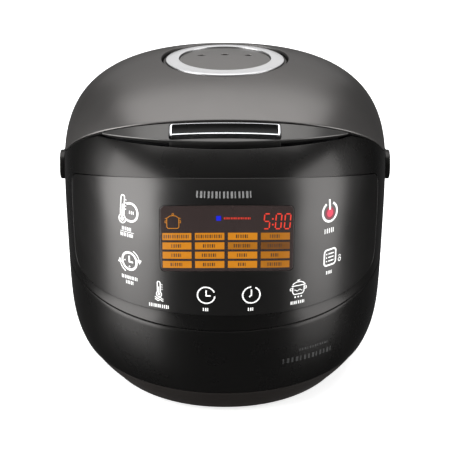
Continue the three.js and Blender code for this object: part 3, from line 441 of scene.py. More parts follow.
def resampled(loop, spacing):
    """A closed loop with extra points on its long edges."""
    out = []
    for p, q in zip(loop, np.roll(loop, -1, 0)):
        n = max(1, int(round(np.linalg.norm(q - p) / spacing)))
        out += [p + (q - p) * k / n for k in range(n)]
    return np.array(out)


# ------------------------------------------------------------------ materials

def add_node(nodes, kind, **values):
    """A new shader node, with input values given by name."""
    node = nodes.new("ShaderNode" + kind)
    for word, value in values.items():
        node.inputs[word.replace("_", " ")].default_value = value
    return node


def noise(nodes, links, coords, scale, detail=2.0, rough=0.5):
    node = add_node(nodes, "TexNoise", Scale=scale, Detail=detail, Roughness=rough)
    links.new(coords, node.inputs["Vector"])
    return node.outputs["Fac"]


def ranged(nodes, links, value, low, high, start=0.3, end=0.7):
    node = add_node(nodes, "MapRange", From_Min=start, From_Max=end, To_Min=low, To_Max=high)
    links.new(value, node.inputs["Value"])
    return node.outputs["Result"]


def scaled(color, share, plus=0.0):
    return (*[min(1, c * share + plus) for c in color], 1)


def blended(nodes, links, first, second, factor):
    """A colour that runs from first, a colour or a socket, to a second colour."""
    mix = nodes.new("ShaderNodeMix")
    mix.data_type = "RGBA"
    mix.inputs["B"].default_value = second
    if isinstance(first, tuple):
        mix.inputs["A"].default_value = first
    else:
        links.new(first, mix.inputs["A"])
    links.new(factor, mix.inputs["Factor"])
    return mix.outputs["Result"]


def finish(name, color, rough, metallic=0.0, coat=0.0, coat_rough=0.08, mottle=(12, 0.06),
           smudge=(30, 0.12), grain=(900, 0.02), flake=0.0, wear=0.0, brushed=None,
           transmission=0.0, ior=1.5, glow=None, specular=0.5, edge=1.0):
    """A procedural finish: colour that varies softly, uneven gloss, fine relief and worn edges.
    Mottle, smudge and grain are each a (noise scale, strength)."""
    material = bpy.data.materials.new(name)
    material.use_nodes = True
    nodes, links = material.node_tree.nodes, material.node_tree.links
    shader = nodes["Principled BSDF"]
    settings = {"Metallic": metallic, "Coat Weight": coat, "Coat Roughness": coat_rough,
                "Transmission Weight": transmission, "IOR": ior, "Specular IOR Level": specular,
                "Specular Tint": (edge, edge, edge, 1)}
    if glow:
        settings["Emission Color"] = (*glow[0], 1)
        settings["Emission Strength"] = glow[1]
    for word, value in settings.items():
        shader.inputs[word].default_value = value

    coords = nodes.new("ShaderNodeTexCoord").outputs["Object"]
    grained = coords
    if brushed:
        mapping = add_node(nodes, "Mapping", Scale=brushed)
        links.new(coords, mapping.inputs["Vector"])
        grained = mapping.outputs["Vector"]

    patches = ranged(nodes, links, noise(nodes, links, coords, mottle[0], 3), 0, 1)
    tint = blended(nodes, links, scaled(color, 1 - mottle[1]), scaled(color, 1 + mottle[1]), patches)
    if flake:
        cells = add_node(nodes, "TexVoronoi", Scale=1800)
        links.new(coords, cells.inputs["Vector"])
        glints = ranged(nodes, links, cells.outputs["Color"], 0, flake, 0.55, 1.0)
        tint = blended(nodes, links, tint, scaled(color, 1 + 2.2 * flake, 0.04 * flake), glints)
    if wear:
        pointed = nodes.new("ShaderNodeNewGeometry").outputs["Pointiness"]
        edges = ranged(nodes, links, pointed, 0, wear, 0.52, 0.62)
        tint = blended(nodes, links, tint, scaled(color, 1.6, 0.03), edges)
    links.new(tint, shader.inputs["Base Color"])

    patchy = noise(nodes, links, grained, smudge[0], 4, 0.6)
    links.new(ranged(nodes, links, patchy, rough * (1 - smudge[1]), rough * (1 + smudge[1])),
              shader.inputs["Roughness"])
    if grain[1]:
        bump = add_node(nodes, "Bump", Strength=grain[1], Distance=0.0002)
        links.new(noise(nodes, links, grained, grain[0], 2), bump.inputs["Height"])
        links.new(bump.outputs["Normal"], shader.inputs["Normal"])
    return material


def lid_lacquer(name, color, edge):
    return finish(name, color, 0.36, metallic=0.85, coat=0.06, coat_rough=0.25, mottle=(9, 0.03),
                  smudge=(25, 0.08), grain=(700, 0.03), flake=0.08, edge=edge)


def body_lacquer(name, color, rough, mottle, smudge, edge):
    return finish(name, color, rough, metallic=0.95, coat=0.03, coat_rough=0.2, mottle=mottle,
                  smudge=smudge, grain=(700, 0.02), specular=0.3, edge=edge)


def print_ink(name, level, rough):
    return finish(name, (level,) * 3, rough, metallic=0.6, mottle=(200, 0.06), grain=(900, 0.03))


def lit_ink(name, color, light, strength=1.0, mottle=(160, 0.1)):
    return finish(name, color, 0.35, mottle=mottle, grain=(0, 0), glow=(light, strength), specular=0.2)


lid_paint = lid_lacquer("lid_lacquer", (0.125, 0.12, 0.117), 0.3)
cover_paint = lid_lacquer("cover_lacquer", (0.19, 0.183, 0.178), 0.4)
body_paint = body_lacquer("body_lacquer", (0.033, 0.032, 0.0313), 0.28, (9, 0.05), (25, 0.1), 0.5)
# The panel's lacquer is a lighter copy of the body's: its extra lightness is a painted highlight that
# brightens the panel's reflections of the side lamps.
panel_lit_paint = body_lacquer("panel_lit_lacquer", (0.054, 0.0525, 0.0515), 0.3, (8, 0.04), (22, 0.08), 0.4)
# The crescent ledge gets a lighter copy of the dark body paint: the extra lightness is painted light, the lit
# look of a face tilted up towards the lamp above.
crescent_lit_paint = finish("crescent_lit_lacquer", (0.085, 0.083, 0.081), 0.34, metallic=0.85, coat=0.06,
                        coat_rough=0.2, mottle=(9, 0.04), grain=(700, 0.02), flake=0.08, edge=0.5)
base_plastic = finish("base_plastic", (0.0085, 0.0068, 0.006), 0.42, coat=0.05, grain=(1400, 0.1), wear=0.2,
                      specular=0.3)
inner_plastic = finish("inner_plastic", (0.03, 0.03, 0.032), 0.5, grain=(1600, 0.18), wear=0.25)
gloss_black = finish("gloss_black", (0.012, 0.012, 0.013), 0.09, coat=0.5, coat_rough=0.03,
                     smudge=(14, 0.35), grain=(500, 0.01))
chrome = finish("chrome", (0.78, 0.79, 0.81), 0.09, metallic=1.0, mottle=(10, 0.02), smudge=(18, 0.35),
                grain=(700, 0.008))
satin_metal = finish("satin_metal", (0.5, 0.5, 0.505), 0.3, metallic=1.0, mottle=(10, 0.02),
                     smudge=(20, 0.1), grain=(900, 0.03))
button_black = finish("button_black", (0.003, 0.003, 0.003), 0.25, mottle=(20, 0.1), smudge=(20, 0.25),
                      grain=(500, 0.01), specular=0.1)
steel = finish("steel", (0.5, 0.5, 0.51), 0.28, metallic=1.0, mottle=(14, 0.08), smudge=(60, 0.2),
               grain=(800, 0.05), wear=0.3)
aluminium = finish("spun_aluminium", (0.56, 0.56, 0.565), 0.36, metallic=1.0, mottle=(10, 0.03),
                   smudge=(40, 0.12), grain=(220, 0.03), brushed=(1, 1, 8))
bowl_coating = finish("bowl_coating", (0.034, 0.032, 0.03), 0.36, coat=0.25, coat_rough=0.25,
                      mottle=(600, 0.5), smudge=(60, 0.2), grain=(1500, 0.15))
silicone = finish("silicone", (0.56, 0.56, 0.54), 0.5, mottle=(30, 0.05), grain=(900, 0.06))
rubber = finish("foot_rubber", (0.012, 0.012, 0.012), 0.75, grain=(1500, 0.3))
board_mask = finish("board_mask", (0.02, 0.11, 0.045), 0.35, coat=0.3, mottle=(90, 0.3), grain=(500, 0.1))
clear_plastic = finish("clear_plastic", (0.62, 0.65, 0.67), 0.16, transmission=0.85, ior=1.49,
                       mottle=(20, 0.03), grain=(500, 0.02))
window_glass = finish("window_glass", (0.028, 0.019, 0.018), 0.12, coat=0.6, coat_rough=0.04,
                      mottle=(16, 0.12), smudge=(12, 0.3), grain=(400, 0.006))
# White print with a faint glow of its own: the glow is painted brightness, since the printed icons are no
# lamp.
white_print_painted_glow = finish("white_print_painted_glow", (0.82, 0.82, 0.81), 0.4, mottle=(200, 0.06), grain=(900, 0.03),
                     glow=((0.9, 0.9, 0.88), 0.25))
print_grey = print_ink("print_grey", 0.42, 0.35)
print_faint = print_ink("print_faint", 0.05, 0.4)
glow_orange = lit_ink("glow_orange", (0.1, 0.035, 0.003), (0.56, 0.2, 0.004), 0.95, (120, 0.2))
glow_amber = lit_ink("glow_amber", (0.08, 0.03, 0.003), (0.36, 0.125, 0.003), 0.95, (120, 0.2))
glow_dim = lit_ink("glow_dim", (0.06, 0.022, 0.005), (0.14, 0.05, 0.004), 0.8, (120, 0.2))
glow_red = lit_ink("glow_red", (0.2, 0.01, 0.008), (0.75, 0.045, 0.02))
glow_blue = lit_ink("glow_blue", (0.004, 0.004, 0.12), (0.004, 0.014, 0.6))
glow_rose = lit_ink("glow_rose", (0.2, 0.01, 0.02), (0.62, 0.04, 0.09))
glow_rose_rim = lit_ink("glow_rose_rim", (0.06, 0.005, 0.01), (0.2, 0.016, 0.035))
label_dark = finish("label_dark", (0.05, 0.02, 0.008), 0.4, mottle=(160, 0.1), grain=(0, 0))


# ------------------------------------------------------------------ lower body

TURNS = 288
turns = np.linspace(-math.pi, math.pi, TURNS, endpoint=False)


def between(low, high, steps, power=1.0):
    """Outline rows from one height line to another; power above 1 packs them near the first."""
    return [body_point(turns, low + (high - low) * (k / steps) ** power) for k in range(steps + 1)]


lower_edge = LOWER_SEAM["edge"]
lower_bottom = np.full(TURNS, BASE_TOP_Z + LOWER_SEAM["gap"] + lower_edge)
lower_top = height_on(turns, lower_seam_z) - LOWER_SEAM["gap"] / 2
rows = between(lower_bottom, lower_top - lower_edge, 30, 1.3)
make("lower_body", *shell(rows, SKIN, lower_edge), body_paint, "base", "body_finish", ["lower_shell"])


# ------------------------------------------------------------------ upper body, panel and window

def band_depth(a, z, y):
    """How far the band under the panel is hollowed."""
    low, high = lower_seam_z(y), panel_bottom(y)
    t = np.clip((z - low) / (high - low), 0, 1.15)
    edge = turn_of(np.float64(PANEL["rear"]), np.float64(110))
    ease = np.clip((np.abs(a) / edge - 0.66) / 0.36, 0, 1)
    fade = 1 - ease ** 2 * (3 - 2 * ease)
    return (0.35 + 1.9 * (1 - (1 - np.minimum(t, 1)) ** 2)) * fade


def hollow_point(a, z):
    p = body_point(a, z)
    return p - body_normal(p) * band_depth(a, z, p[..., 1])[..., None]


def body_params(p, near):
    a = np.arctan2(p[:, 0], -p[:, 1])
    a = near[:, 0] + (a - near[:, 0] + math.pi) % (2 * math.pi) - math.pi
    return np.stack([a, p[:, 2]], -1)


plain_skin = Surface(body_point, body_params)
hollow_skin = Surface(hollow_point, body_params)


def bezier(p0, p1, p2, steps=10):
    t = np.linspace(0, 1, steps + 1)[:, None]
    return (1 - t) ** 2 * np.array(p0) + 2 * t * (1 - t) * np.array(p1) + t ** 2 * np.array(p2)


def panel_outline():
    """The panel's edge as (turn, height), counter-clockwise from the middle of its lower edge."""
    rear, low_corner, top_corner = PANEL["rear"], 14, 8
    low_y, top_y = rear - low_corner, rear - top_corner
    a_low = float(turn_of(low_y, panel_bottom(low_y)))
    a_top = float(turn_of(top_y, panel_top(top_y)))
    bottom = np.linspace(0, a_low, 70)
    bottom = np.stack([bottom, height_on(bottom, panel_bottom)], -1)
    corner = bezier((low_y, panel_bottom(low_y)), (rear, panel_bottom(rear)),
                    (rear, panel_bottom(rear) + low_corner))
    top = bezier((rear, panel_top(rear) - top_corner), (rear, panel_top(rear)), (top_y, panel_top(top_y)))
    upright = np.linspace(corner[-1], top[0], 36)[1:-1]
    side = np.vstack([corner[1:], upright, top[:-1]])
    side = np.stack([turn_of(side[:, 0], side[:, 1]), side[:, 1]], -1)
    upper = np.linspace(a_top, 0, 76)
    upper = np.stack([upper, height_on(upper, panel_top)], -1)
    right = np.vstack([bottom, side, upper])
    left = right[1:-1][::-1] * [-1, 1]
    return np.vstack([right, left])


def arched(points):
    """Lifts points (x, z) as the window's edges arch across the panel."""
    share = (points[:, 0] - WINDOW["x"]) / WINDOW["half_width"]
    return np.stack([points[:, 0], points[:, 1] + WINDOW["arch"] * (1 - share ** 2)], -1)


def window_outline():
    x, z, width, height = (WINDOW[word] for word in ("x", "z", "half_width", "half_height"))
    edge = arched(rounded_rect(x - width, x + width, z - height, z + height, 4))
    return on_body(edge[:, 0], edge[:, 1])


panel_edge = panel_outline()
window_edge = window_outline()

# Crescent: a ruled ledge from the lid's seam down to the front, as (x, distance down the slope)
line_x = np.linspace(-CRESCENT["half_width"], CRESCENT["half_width"], 415)


ledge_start_z = halve(lambda z: z < seam_z(front_point(line_x, z)[:, 1]),
                      np.full(line_x.shape, SEAM_REAR_Z), np.full(line_x.shape, TOP_Z - 1.0))
ledge_start = front_point(line_x, ledge_start_z)
share = np.minimum(0.98, np.abs(line_x) / CRESCENT["half_width"])
ledge_end_z = ledge_start_z - CRESCENT["drop"] * (1 - share ** 2) ** 0.8
ledge_end = front_point(line_x, ledge_end_z)
ledge_length = np.linalg.norm(ledge_end - ledge_start, axis=1)
ledge_along = (ledge_end - ledge_start) / ledge_length[:, None]


def on_line(values, x):
    return np.stack([np.interp(x, line_x, values[:, k]) for k in range(values.shape[1])], -1)


def ledge_point(x, d):
    x, d = np.broadcast_arrays(np.asarray(x, float), np.asarray(d, float))
    p = on_line(ledge_start, x) + on_line(ledge_along, x) * d[..., None]
    p[..., 0] = x
    return p


def ledge_params(p, near):
    start, down = on_line(ledge_start, p[:, 0]), on_line(ledge_along, p[:, 0])
    return np.stack([p[:, 0], ((p - start) * down).sum(-1)], -1)


# seen from outside, x runs to the right and the ledge's distance runs down, so v is minus distance
ledge_skin = Surface(lambda x, v: ledge_point(x, -v),
                     lambda p, near: ledge_params(p, near) * [1, -1], step=(0.05, 0.05), metric=1.0)


def ledge_length_at(x):
    return np.interp(x, line_x, ledge_length)


def upper_top_edge():
    """The upper body's top edge, from the back round by -X, the front and +X to the back again."""
    tip = math.atan2(line_x[-1], -ledge_end[-1, 1])
    back = np.linspace(-math.pi, -tip, 150)
    left = np.stack([back, height_on(back, lambda y: seam_z(y) - SEAM_GAP / 2, 170)], -1)
    inner = slice(3, len(line_x) - 3, 2)
    front = np.stack([np.arctan2(ledge_end[inner, 0], -ledge_end[inner, 1]), ledge_end[inner, 2]], -1)
    crease = 0.25 + 1.3 * (1 - share[inner] ** 2)
    front[:, 1] -= crease
    right = left[::-1] * [-1, 1]
    return np.vstack([left[:-1], front, right[1:]])


def upper_body():
    radius = 0.8
    bottom = np.linspace(-math.pi, math.pi, 360)
    bottom = np.stack([bottom, height_on(bottom, lower_seam_z) + LOWER_SEAM["gap"] / 2], -1)
    top = upper_top_edge()[::-1]
    low_inner, low_rows = roll_curve(hollow_skin, bottom, False, radius, 0, SKIN)
    top_inner, top_rows = roll_curve(hollow_skin, top, False, radius, 0, SKIN + 1)
    hole_inner, hole_rows = roll_curve(hollow_skin, panel_edge[::-1], True, 0.4, 0.25, SKIN)
    for inner in (low_inner, top_inner):
        inner[[0, -1], 0] = np.sign(inner[[0, -1], 0]) * math.pi
    column = np.linspace(low_inner[-1, 1], top_inner[0, 1], 30)[1:-1]
    right = np.stack([np.full(28, math.pi), column], -1)
    outer = np.vstack([low_inner, right, top_inner, right[::-1] * [-1, 1]])
    return outer, [hole_inner], [(low_rows, False), (top_rows, False), (hole_rows, True)]


skin("upper_body", hollow_skin, body_paint, "base", "body_finish", ["upper_shell"], *upper_body())

inner, rows = roll_curve(plain_skin, panel_edge, True, 0.5, 0.25, SKIN)
hole, hole_rows = roll_curve(plain_skin, window_edge[::-1], True, 0.25, 0.1, SKIN)
skin("touch_panel", plain_skin, panel_lit_paint, "base", "panel_finish", ["control_panel"],
     inner, [hole], [(rows, True), (hole_rows, True)])


def pane_point(a, z):
    p = body_point(a, z)
    return p - body_normal(p) * PANE_DEPTH


pane_skin = Surface(pane_point, body_params)
inner, rows = roll_curve(pane_skin, window_edge, True, 0.3, 0.1, SKIN)
skin("window_pane", pane_skin, window_glass, "base", "gloss_black", ["display_window"],
     inner, rolled=[(rows, True)])


# ------------------------------------------------------------------ crescent ledge and button

def ledge_strip():
    limit = CRESCENT["half_width"] - 2.5
    x = np.linspace(-limit, limit, 200)
    front = np.stack([x, -ledge_length_at(x)], -1)
    back = np.stack([x[::-1], np.full(len(x), -0.35)], -1)
    half, length = BUTTON["half_width"] + BUTTON["gap"], BUTTON["length"] + BUTTON["gap"]
    hole = rounded_rect(-half, half, -length, -0.9, 2.5)
    hole_inner, hole_rows = roll_curve(ledge_skin, hole[::-1], True, 0.5, 0, 8, upright=True)
    front_inner, front_rows = roll_curve(ledge_skin, front, False, 0.9, 0, 4)
    return np.vstack([front_inner, back]), [hole_inner], [(front_rows, False), (hole_rows, True)], 2.5


skin("crescent_ledge", ledge_skin, crescent_lit_paint, "base", "body_finish", (), *ledge_strip())


def raised_ledge(lift):
    """The ledge lifted straight up, the way the button moves, by lift(x, distance)."""
    def point(x, v):
        uv = np.stack([np.ravel(x), np.ravel(v)], -1)
        p = ledge_skin.point(uv) + lift(uv[:, 0], -uv[:, 1])[:, None] * [0, 0, 1]
        return p.reshape(*np.shape(x), 3)
    return Surface(point, ledge_skin.params, step=(0.05, 0.05), metric=1.0)


def lip_lift(x, d):
    swell = np.clip((d - BUTTON["lip_from"]) / (BUTTON["length"] - BUTTON["lip_from"]), 0, 1)
    return 0.35 + 2.0 * np.sin(swell * math.pi * 0.62)


half, border, back = BUTTON["half_width"], BUTTON["border"], BUTTON["back"]
opening = back + 0.6, BUTTON["lip_from"] + 0.4
frame_skin = raised_ledge(lip_lift)
outline = rounded_rect(-half, half, -BUTTON["length"], -back, 2.2, 1.5)
inside = rounded_rect(border - half, half - border, -opening[1], -opening[0], 1.2, 1.5)
inner, rows = roll_curve(frame_skin, outline, True, 0.35, 0, 6, upright=True)
hole, hole_rows = roll_curve(frame_skin, inside[::-1], True, 0.2, 0, 4)
skin("button_surround", frame_skin, chrome, "button", "chrome", ["button_frame"],
     inner, [hole], [(rows, True), (hole_rows, True)], 1.5)


def dish(x, d):
    """The insert's face, hollowed across its opening."""
    return 0.2 - np.sin(np.clip((d - opening[0]) / 9.2, 0, 1) * math.pi)


insert_skin = raised_ledge(dish)
outline = rounded_rect(-half + 1.8, half - 1.8, 0.2 - opening[1], -opening[0] - 0.2, 1.0, 1.5)
inner, rows = roll_curve(insert_skin, outline, True, 0.4, 0, 3)
skin("button_face", insert_skin, button_black, "button", "gloss_black", ["button_insert"],
     inner, rolled=[(rows, True)], spacing=1.5)


# ------------------------------------------------------------------ lid

heading = np.linspace(0, 2 * math.pi, TURNS, endpoint=False)
ray = np.stack([np.sin(heading), -np.cos(heading)], -1)


def ray_reach(z):
    """Distance from the vent's axis to the outline at height z, along each ray."""
    def inside(r):
        return gauge(r * ray[:, 0], VENT["y"] + r * ray[:, 1], z) < 1
    return halve(inside, np.zeros(TURNS), np.full(TURNS, 320.0))


def ray_point(z):
    r = ray_reach(z)
    return np.stack([r * ray[:, 0], VENT["y"] + r * ray[:, 1], z], -1)


def dome_z(y):
    return float(halve(lambda z: end_at(z, y) > abs(y), WAIST_Z, TOP_Z))


rim_z = (dome_z(VENT["y"] - VENT["radius"]), dome_z(VENT["y"] + VENT["radius"]))
vent_tilt = math.atan2(rim_z[1] - rim_z[0], 2 * VENT["radius"])
vent_turn = np.array([[1, 0, 0], [0, math.cos(vent_tilt), -math.sin(vent_tilt)],
                      [0, math.sin(vent_tilt), math.cos(vent_tilt)]])
vent_place = (vent_turn, np.array([0, VENT["y"], sum(rim_z) / 2]))
vent_axis = vent_turn[:, 2]


def lid_rows():
    """Rows of the dome from the lid's seam up to the rim of the vent."""
    edge = halve(lambda z: z < seam_z(ray_point(z)[:, 1]) + SEAM_GAP / 2,
                 np.full(TURNS, 175.0), np.full(TURNS, TOP_Z - 1.0))
    start = edge + 0.9
    rim = VENT["radius"] + 0.8
    end = dome_height(rim * ray[:, 0], VENT["y"] + rim * ray[:, 1])
    fine = [ray_point(end - (end - start) * (1 - q) ** 1.8) for q in np.linspace(0, 1, 140)]
    fine = np.array(fine)
    run = np.concatenate([np.zeros((1, TURNS)),
                          np.cumsum(np.linalg.norm(np.diff(fine, axis=0), axis=2), 0)])
    rows = []
    for share in np.linspace(0, 1, 46):
        z = np.array([np.interp(share * run[-1, i], run[:, i], fine[:, i, 2]) for i in range(TURNS)])
        rows.append(ray_point(z))
    return rows


outer = lid_rows()
ends = [body_normal(outer[0]), body_normal(outer[-1])]
seam_rows = rounded_edge(outer[0], outer[1], ends[0], 0.9, SKIN)
rim_rows = rounded_edge(outer[-1], outer[-2], ends[1], 0.8, 1.6)
floor = vent_place[1] - vent_axis * VENT["depth"]
wall = rim_rows[-1]
low_wall = wall - np.outer((wall - floor) @ vent_axis, vent_axis)
centre = floor + (low_wall - floor) * 0.3
loft("lid_dome", seam_rows[::-1] + outer + rim_rows + [low_wall, centre],
     lid_paint, "lid", "lid_finish", ["lid_shell"], sharp=50)


def plate(outline, x0, x1, edge=0.6):
    """A flat plate across X with chamfered edges, from its (y, z) outline."""
    p = np.array(outline, float)
    run = unit(np.roll(p, -1, 0) - np.roll(p, 1, 0))
    inner = p - np.stack([run[:, 1], -run[:, 0]], -1) * edge
    levels = ((inner, x0), (p, x0 + edge), (p, x1 - edge), (inner, x1))
    return capped([np.column_stack([np.full(len(p), x), q]) for q, x in levels])


pin_y, pin_z = HINGE["y"], HINGE["z"]
ear = arc(pin_y, pin_z, HINGE["radius"], 200, 385, 20) + [
    (pin_y + 2, pin_z + 7), (pin_y - 7, pin_z + 12), (pin_y - 22, pin_z + 13), (pin_y - 22, pin_z - 1.5),
    (pin_y - 7, pin_z - 1.5)]
for side, word in ((-1, "left"), (1, "right")):
    x0, x1 = sorted((side * HINGE["inner"], side * HINGE["outer"]))
    verts, faces = plate(resampled(np.array(ear), 3), x0, x1)
    make(f"lid_ear_{word}", verts, faces, lid_paint, "lid", "lid_finish", sharp=30)


def rounded_profile(points, radius=0.5, steps=4):
    """A [radius, height] outline with its corners rounded: points are (r, z) or (r, z, own radius)."""
    out = []
    n = len(points)
    for i, point in enumerate(points):
        r = point[2] if len(point) > 2 else radius
        here = np.array(point[:2], float)
        before, after = np.array(points[i - 1][:2], float), np.array(points[(i + 1) % n][:2], float)
        if i in (0, n - 1) or r == 0:
            out.append(tuple(here))
            continue
        r = min(r, np.linalg.norm(before - here) * 0.45, np.linalg.norm(after - here) * 0.45)
        a = here + (before - here) / np.linalg.norm(before - here) * r
        b = here + (after - here) / np.linalg.norm(after - here) * r
        out += [tuple(p) for p in bezier(a, here, b, steps)]
    return out


# Steam valve: a bright ring, a domed cover with three holes, and the cup below
ring_in, ring_out = VENT["ring_inner"], VENT["ring_outer"]
ring_low = VENT["ring_low"]
profile = rounded_profile([(ring_in, ring_low), (ring_in, 1.3, 0.8), (ring_in + 5.9, 1.2, 3),
                           (ring_out, -0.1, 1.2), (ring_out, ring_low)])
loft("vent_ring", lathe(profile, 160, vent_place), satin_metal, "valve", "chrome", ["valve_ring"])
profile = rounded_profile([(ring_out + 0.05, ring_low), (ring_out + 0.05, -1.3, 0.3),
                           (ring_out + 1.9, -1.6, 0.5), (ring_out + 1.9, ring_low)])
loft("vent_flange", lathe(profile, 160, vent_place), lid_paint, "valve", "lid_finish")


def cover_point(x, y):
    x, y = np.broadcast_arrays(np.asarray(x, float), np.asarray(y, float))
    r = np.hypot(x, y) / ring_in
    local = np.stack([x, y, 2.1 - 2.2 * r ** 2], -1)
    return local @ vent_turn.T + vent_place[1]


def cover_params(p, near):
    return ((p - vent_place[1]) @ vent_turn)[:, :2]


cover_skin = Surface(cover_point, cover_params, step=(0.02, 0.02), metric=1.0)
t = np.linspace(0, 2 * math.pi, 120, endpoint=False)
edge = np.stack([np.cos(t), np.sin(t)], -1) * (ring_in - 0.3)
inner, rows = roll_curve(cover_skin, edge, True, 0.5, 0, 3)
rolled, holes = [(rows, True)], []
for k in (-1, 0, 1):
    t = np.linspace(0, -2 * math.pi, 36, endpoint=False)
    oval = np.stack([VENT["hole_pitch"] * k + 3.4 * np.cos(t), VENT["hole_y"] + 2.4 * np.sin(t)], -1)
    hole, hole_rows = roll_curve(cover_skin, oval, True, 0.4, 0, 2.5)
    holes.append(hole)
    rolled.append((hole_rows, True))
skin("vent_cover", cover_skin, cover_paint, "valve", "lid_finish", ["valve_cover"],
     inner, holes, rolled, 2.5)

# A pin-hole in the lid just in front of the vent
t = np.linspace(0, 2 * math.pi, 16, endpoint=False)
spot = np.stack([0.9 * np.cos(t), -66.4 + 0.9 * np.sin(t)], -1)
dot = np.column_stack([spot, dome_height(spot[:, 0], spot[:, 1]) + 0.04])
make("lid_pin_hole", dot, [tuple(range(len(dot)))], inner_plastic, "lid", "inner_plastic")


# ------------------------------------------------------------------ base

rows = between(np.full(TURNS, BASE_Z + 1.2), np.full(TURNS, BASE_TOP_Z), 14, 1.6)
inset = [row - body_normal(row) * 0.8 for row in rows]
bottom = inset[0].copy()
bottom[:, :2] -= unit(bottom[:, :2]) * 1.2
bottom[:, 2] = BASE_Z
flat = bottom.copy()
flat[:, :2] *= 0.97
top = inset[-1] - body_normal(rows[-1]) * 2.5
loft("base_skirt", [flat, bottom] + inset + [top], base_plastic, "base", "base_plastic", sharp=50)


def flat_params(p, near):
    return np.stack([-p[:, 0], p[:, 1]], -1)


under_skin = Surface(lambda u, v: np.stack([-u, v, np.full(np.shape(u), float(BASE_Z))], -1),
                     flat_params, step=(0.05, 0.05), metric=1.0)
under_edge = np.stack([-flat[:, 0], flat[:, 1]], -1)
ahead = np.roll(under_edge, -1, 0)
if (ahead[:, 0] * under_edge[:, 1] - under_edge[:, 0] * ahead[:, 1]).sum() > 0:
    under_edge = under_edge[::-1]
cuts = []
for k in (-2, -1, 0, 1, 2):
    y = SLOT["y"] + k * SLOT["pitch"]
    slot = rounded_rect(-SLOT["half_length"], SLOT["half_length"], y - SLOT["half_width"],
                        y + SLOT["half_width"], 1.8, 3)
    cuts.append((slot[::-1], 0.4, 2.6))
t = np.linspace(0, -2 * math.pi, 32, endpoint=False)
for x in (-SCREW["x"], SCREW["x"]):
    for y in (-SCREW["y"], SCREW["y"]):
        ring = np.stack([x + SCREW["radius"] * np.cos(t), y + SCREW["radius"] * np.sin(t)], -1)
        cuts.append((ring, 0.3, 0.5))
holes, rolled = [], []
for edge, radius, wall in cuts:
    hole, hole_rows = roll_curve(under_skin, edge, True, radius, 0, wall)
    holes.append(hole)
    rolled.append((hole_rows, True))
skin("base_underside", under_skin, base_plastic, "base", "base_plastic", ["base_tray"],
     under_edge, holes, rolled, 6)


# ------------------------------------------------------------------ handle

def bail_section(half_thick, half_high, steps=8):
    """A rounded rectangle in (out, up)."""
    edge = min(half_thick, half_high) * 0.62
    return rounded_rect(-half_thick, half_thick, -half_high, half_high, edge, 50, steps)


def handle_bail():
    middle = BODY["side"] + HANDLE["gap"] + HANDLE["thick"] / 2
    bow = HANDLE["reach"] - HANDLE["straight"]
    path = [(middle, HANDLE["straight"] * k / 8) for k in range(8)]
    for k in range(81):
        t = math.pi * k / 80
        x = middle * np.sign(math.cos(t)) * abs(math.cos(t)) ** HANDLE["bow"]
        path.append((x, HANDLE["straight"] + bow * math.sin(t) ** HANDLE["bow"]))
    path += [(-middle, HANDLE["straight"] * k / 8) for k in range(7, -1, -1)]
    path = np.array(path)
    ahead = np.vstack([path[1:], path[-1:]])
    behind = np.vstack([path[:1], path[:-1]])
    run = unit(ahead - behind)
    rows = []
    for (x, y), (tx, ty) in zip(path, run):
        s = np.clip((y - HANDLE["straight"]) / (HANDLE["reach"] - 6 - HANDLE["straight"]), 0, 1)
        s = s * s * (3 - 2 * s)
        thick = HANDLE["thick"] + (HANDLE["back_thick"] - HANDLE["thick"]) * s
        section = bail_section(thick / 2 - 0.02, (HANDLE["high"] + 2 * s) / 2 - 0.02)
        out, up = section[:, 0], section[:, 1]
        rows.append(np.stack([x + ty * out, y - tx * out, up], -1))
    return rows


def swing(points):
    """Places points of the level handle at its rest droop."""
    t = -math.radians(HANDLE["droop"])
    y, z = points[:, 1], points[:, 2]
    return np.stack([points[:, 0], HANDLE["y"] + y * math.cos(t) - z * math.sin(t),
                     HANDLE["z"] + y * math.sin(t) + z * math.cos(t)], -1)


verts, faces = capped(handle_bail())
make("handle_bail", swing(verts), faces, body_paint, "handle", "body_finish", ["carry_handle"], sharp=50)


def side_disc(profile, side, steps=72):
    """A [radius, distance out from x=0] profile turned about the handle's pivot axis."""
    t = np.linspace(0, 2 * math.pi, steps, endpoint=False)
    y, z = HANDLE["y"], HANDLE["z"]
    return [np.stack([np.full(steps, side * x), y + r * np.cos(t), z + r * np.sin(t)], -1) for r, x in profile]


for side, word in ((-1, "left"), (1, "right")):
    x0 = BODY["side"] + HANDLE["gap"]
    x1 = x0 + HUB["thick"]
    profile = rounded_profile([(HUB["bore"], x0), (HUB["radius"], x0, 0.6), (HUB["radius"], x1, 1.4),
                               (HUB["bore"], x1 - 0.3, 0.8), (HUB["bore"], x0)])
    loft(f"handle_hub_{word}", side_disc(profile, side), body_paint, "handle", "body_finish")
    face, end, radius = x1 - PIVOT["below_hub"], x0 - PIVOT["depth"], PIVOT["radius"]
    profile = rounded_profile([(0, face), (radius / 2, face, 1), (radius, face - 0.9, 1), (radius, end, 0.5),
                               (0, end)])
    loft(f"pivot_cap_{word}", side_disc(profile, side), inner_plastic, "base", "inner_plastic",
         [f"handle_pivot_{word}"])


# ------------------------------------------------------------------ bowl, well and the lid's underside

def circle_row(radius, z, y):
    s, c = np.sin(turns), -np.cos(turns)
    return np.stack([radius * s, y + radius * c, np.full(TURNS, float(z))], -1)


def well_row(inset, z_of=None, z=0.0):
    """The well's outline, smaller by inset, level at z or following a line given as z over y."""
    s, c = np.sin(turns), -np.cos(turns)
    power, side = WELL["power"], WELL["side"] - inset
    end = np.where(c < 0, WELL["front"], WELL["rear"]) - inset
    r = ((np.abs(s) / side) ** power + (np.abs(c) / end) ** power) ** (-1 / power)
    row = np.stack([r * s, r * c, np.full(TURNS, float(z))], -1)
    if z_of is not None:
        row[:, 2] = z_of(row[:, 1])
    return row


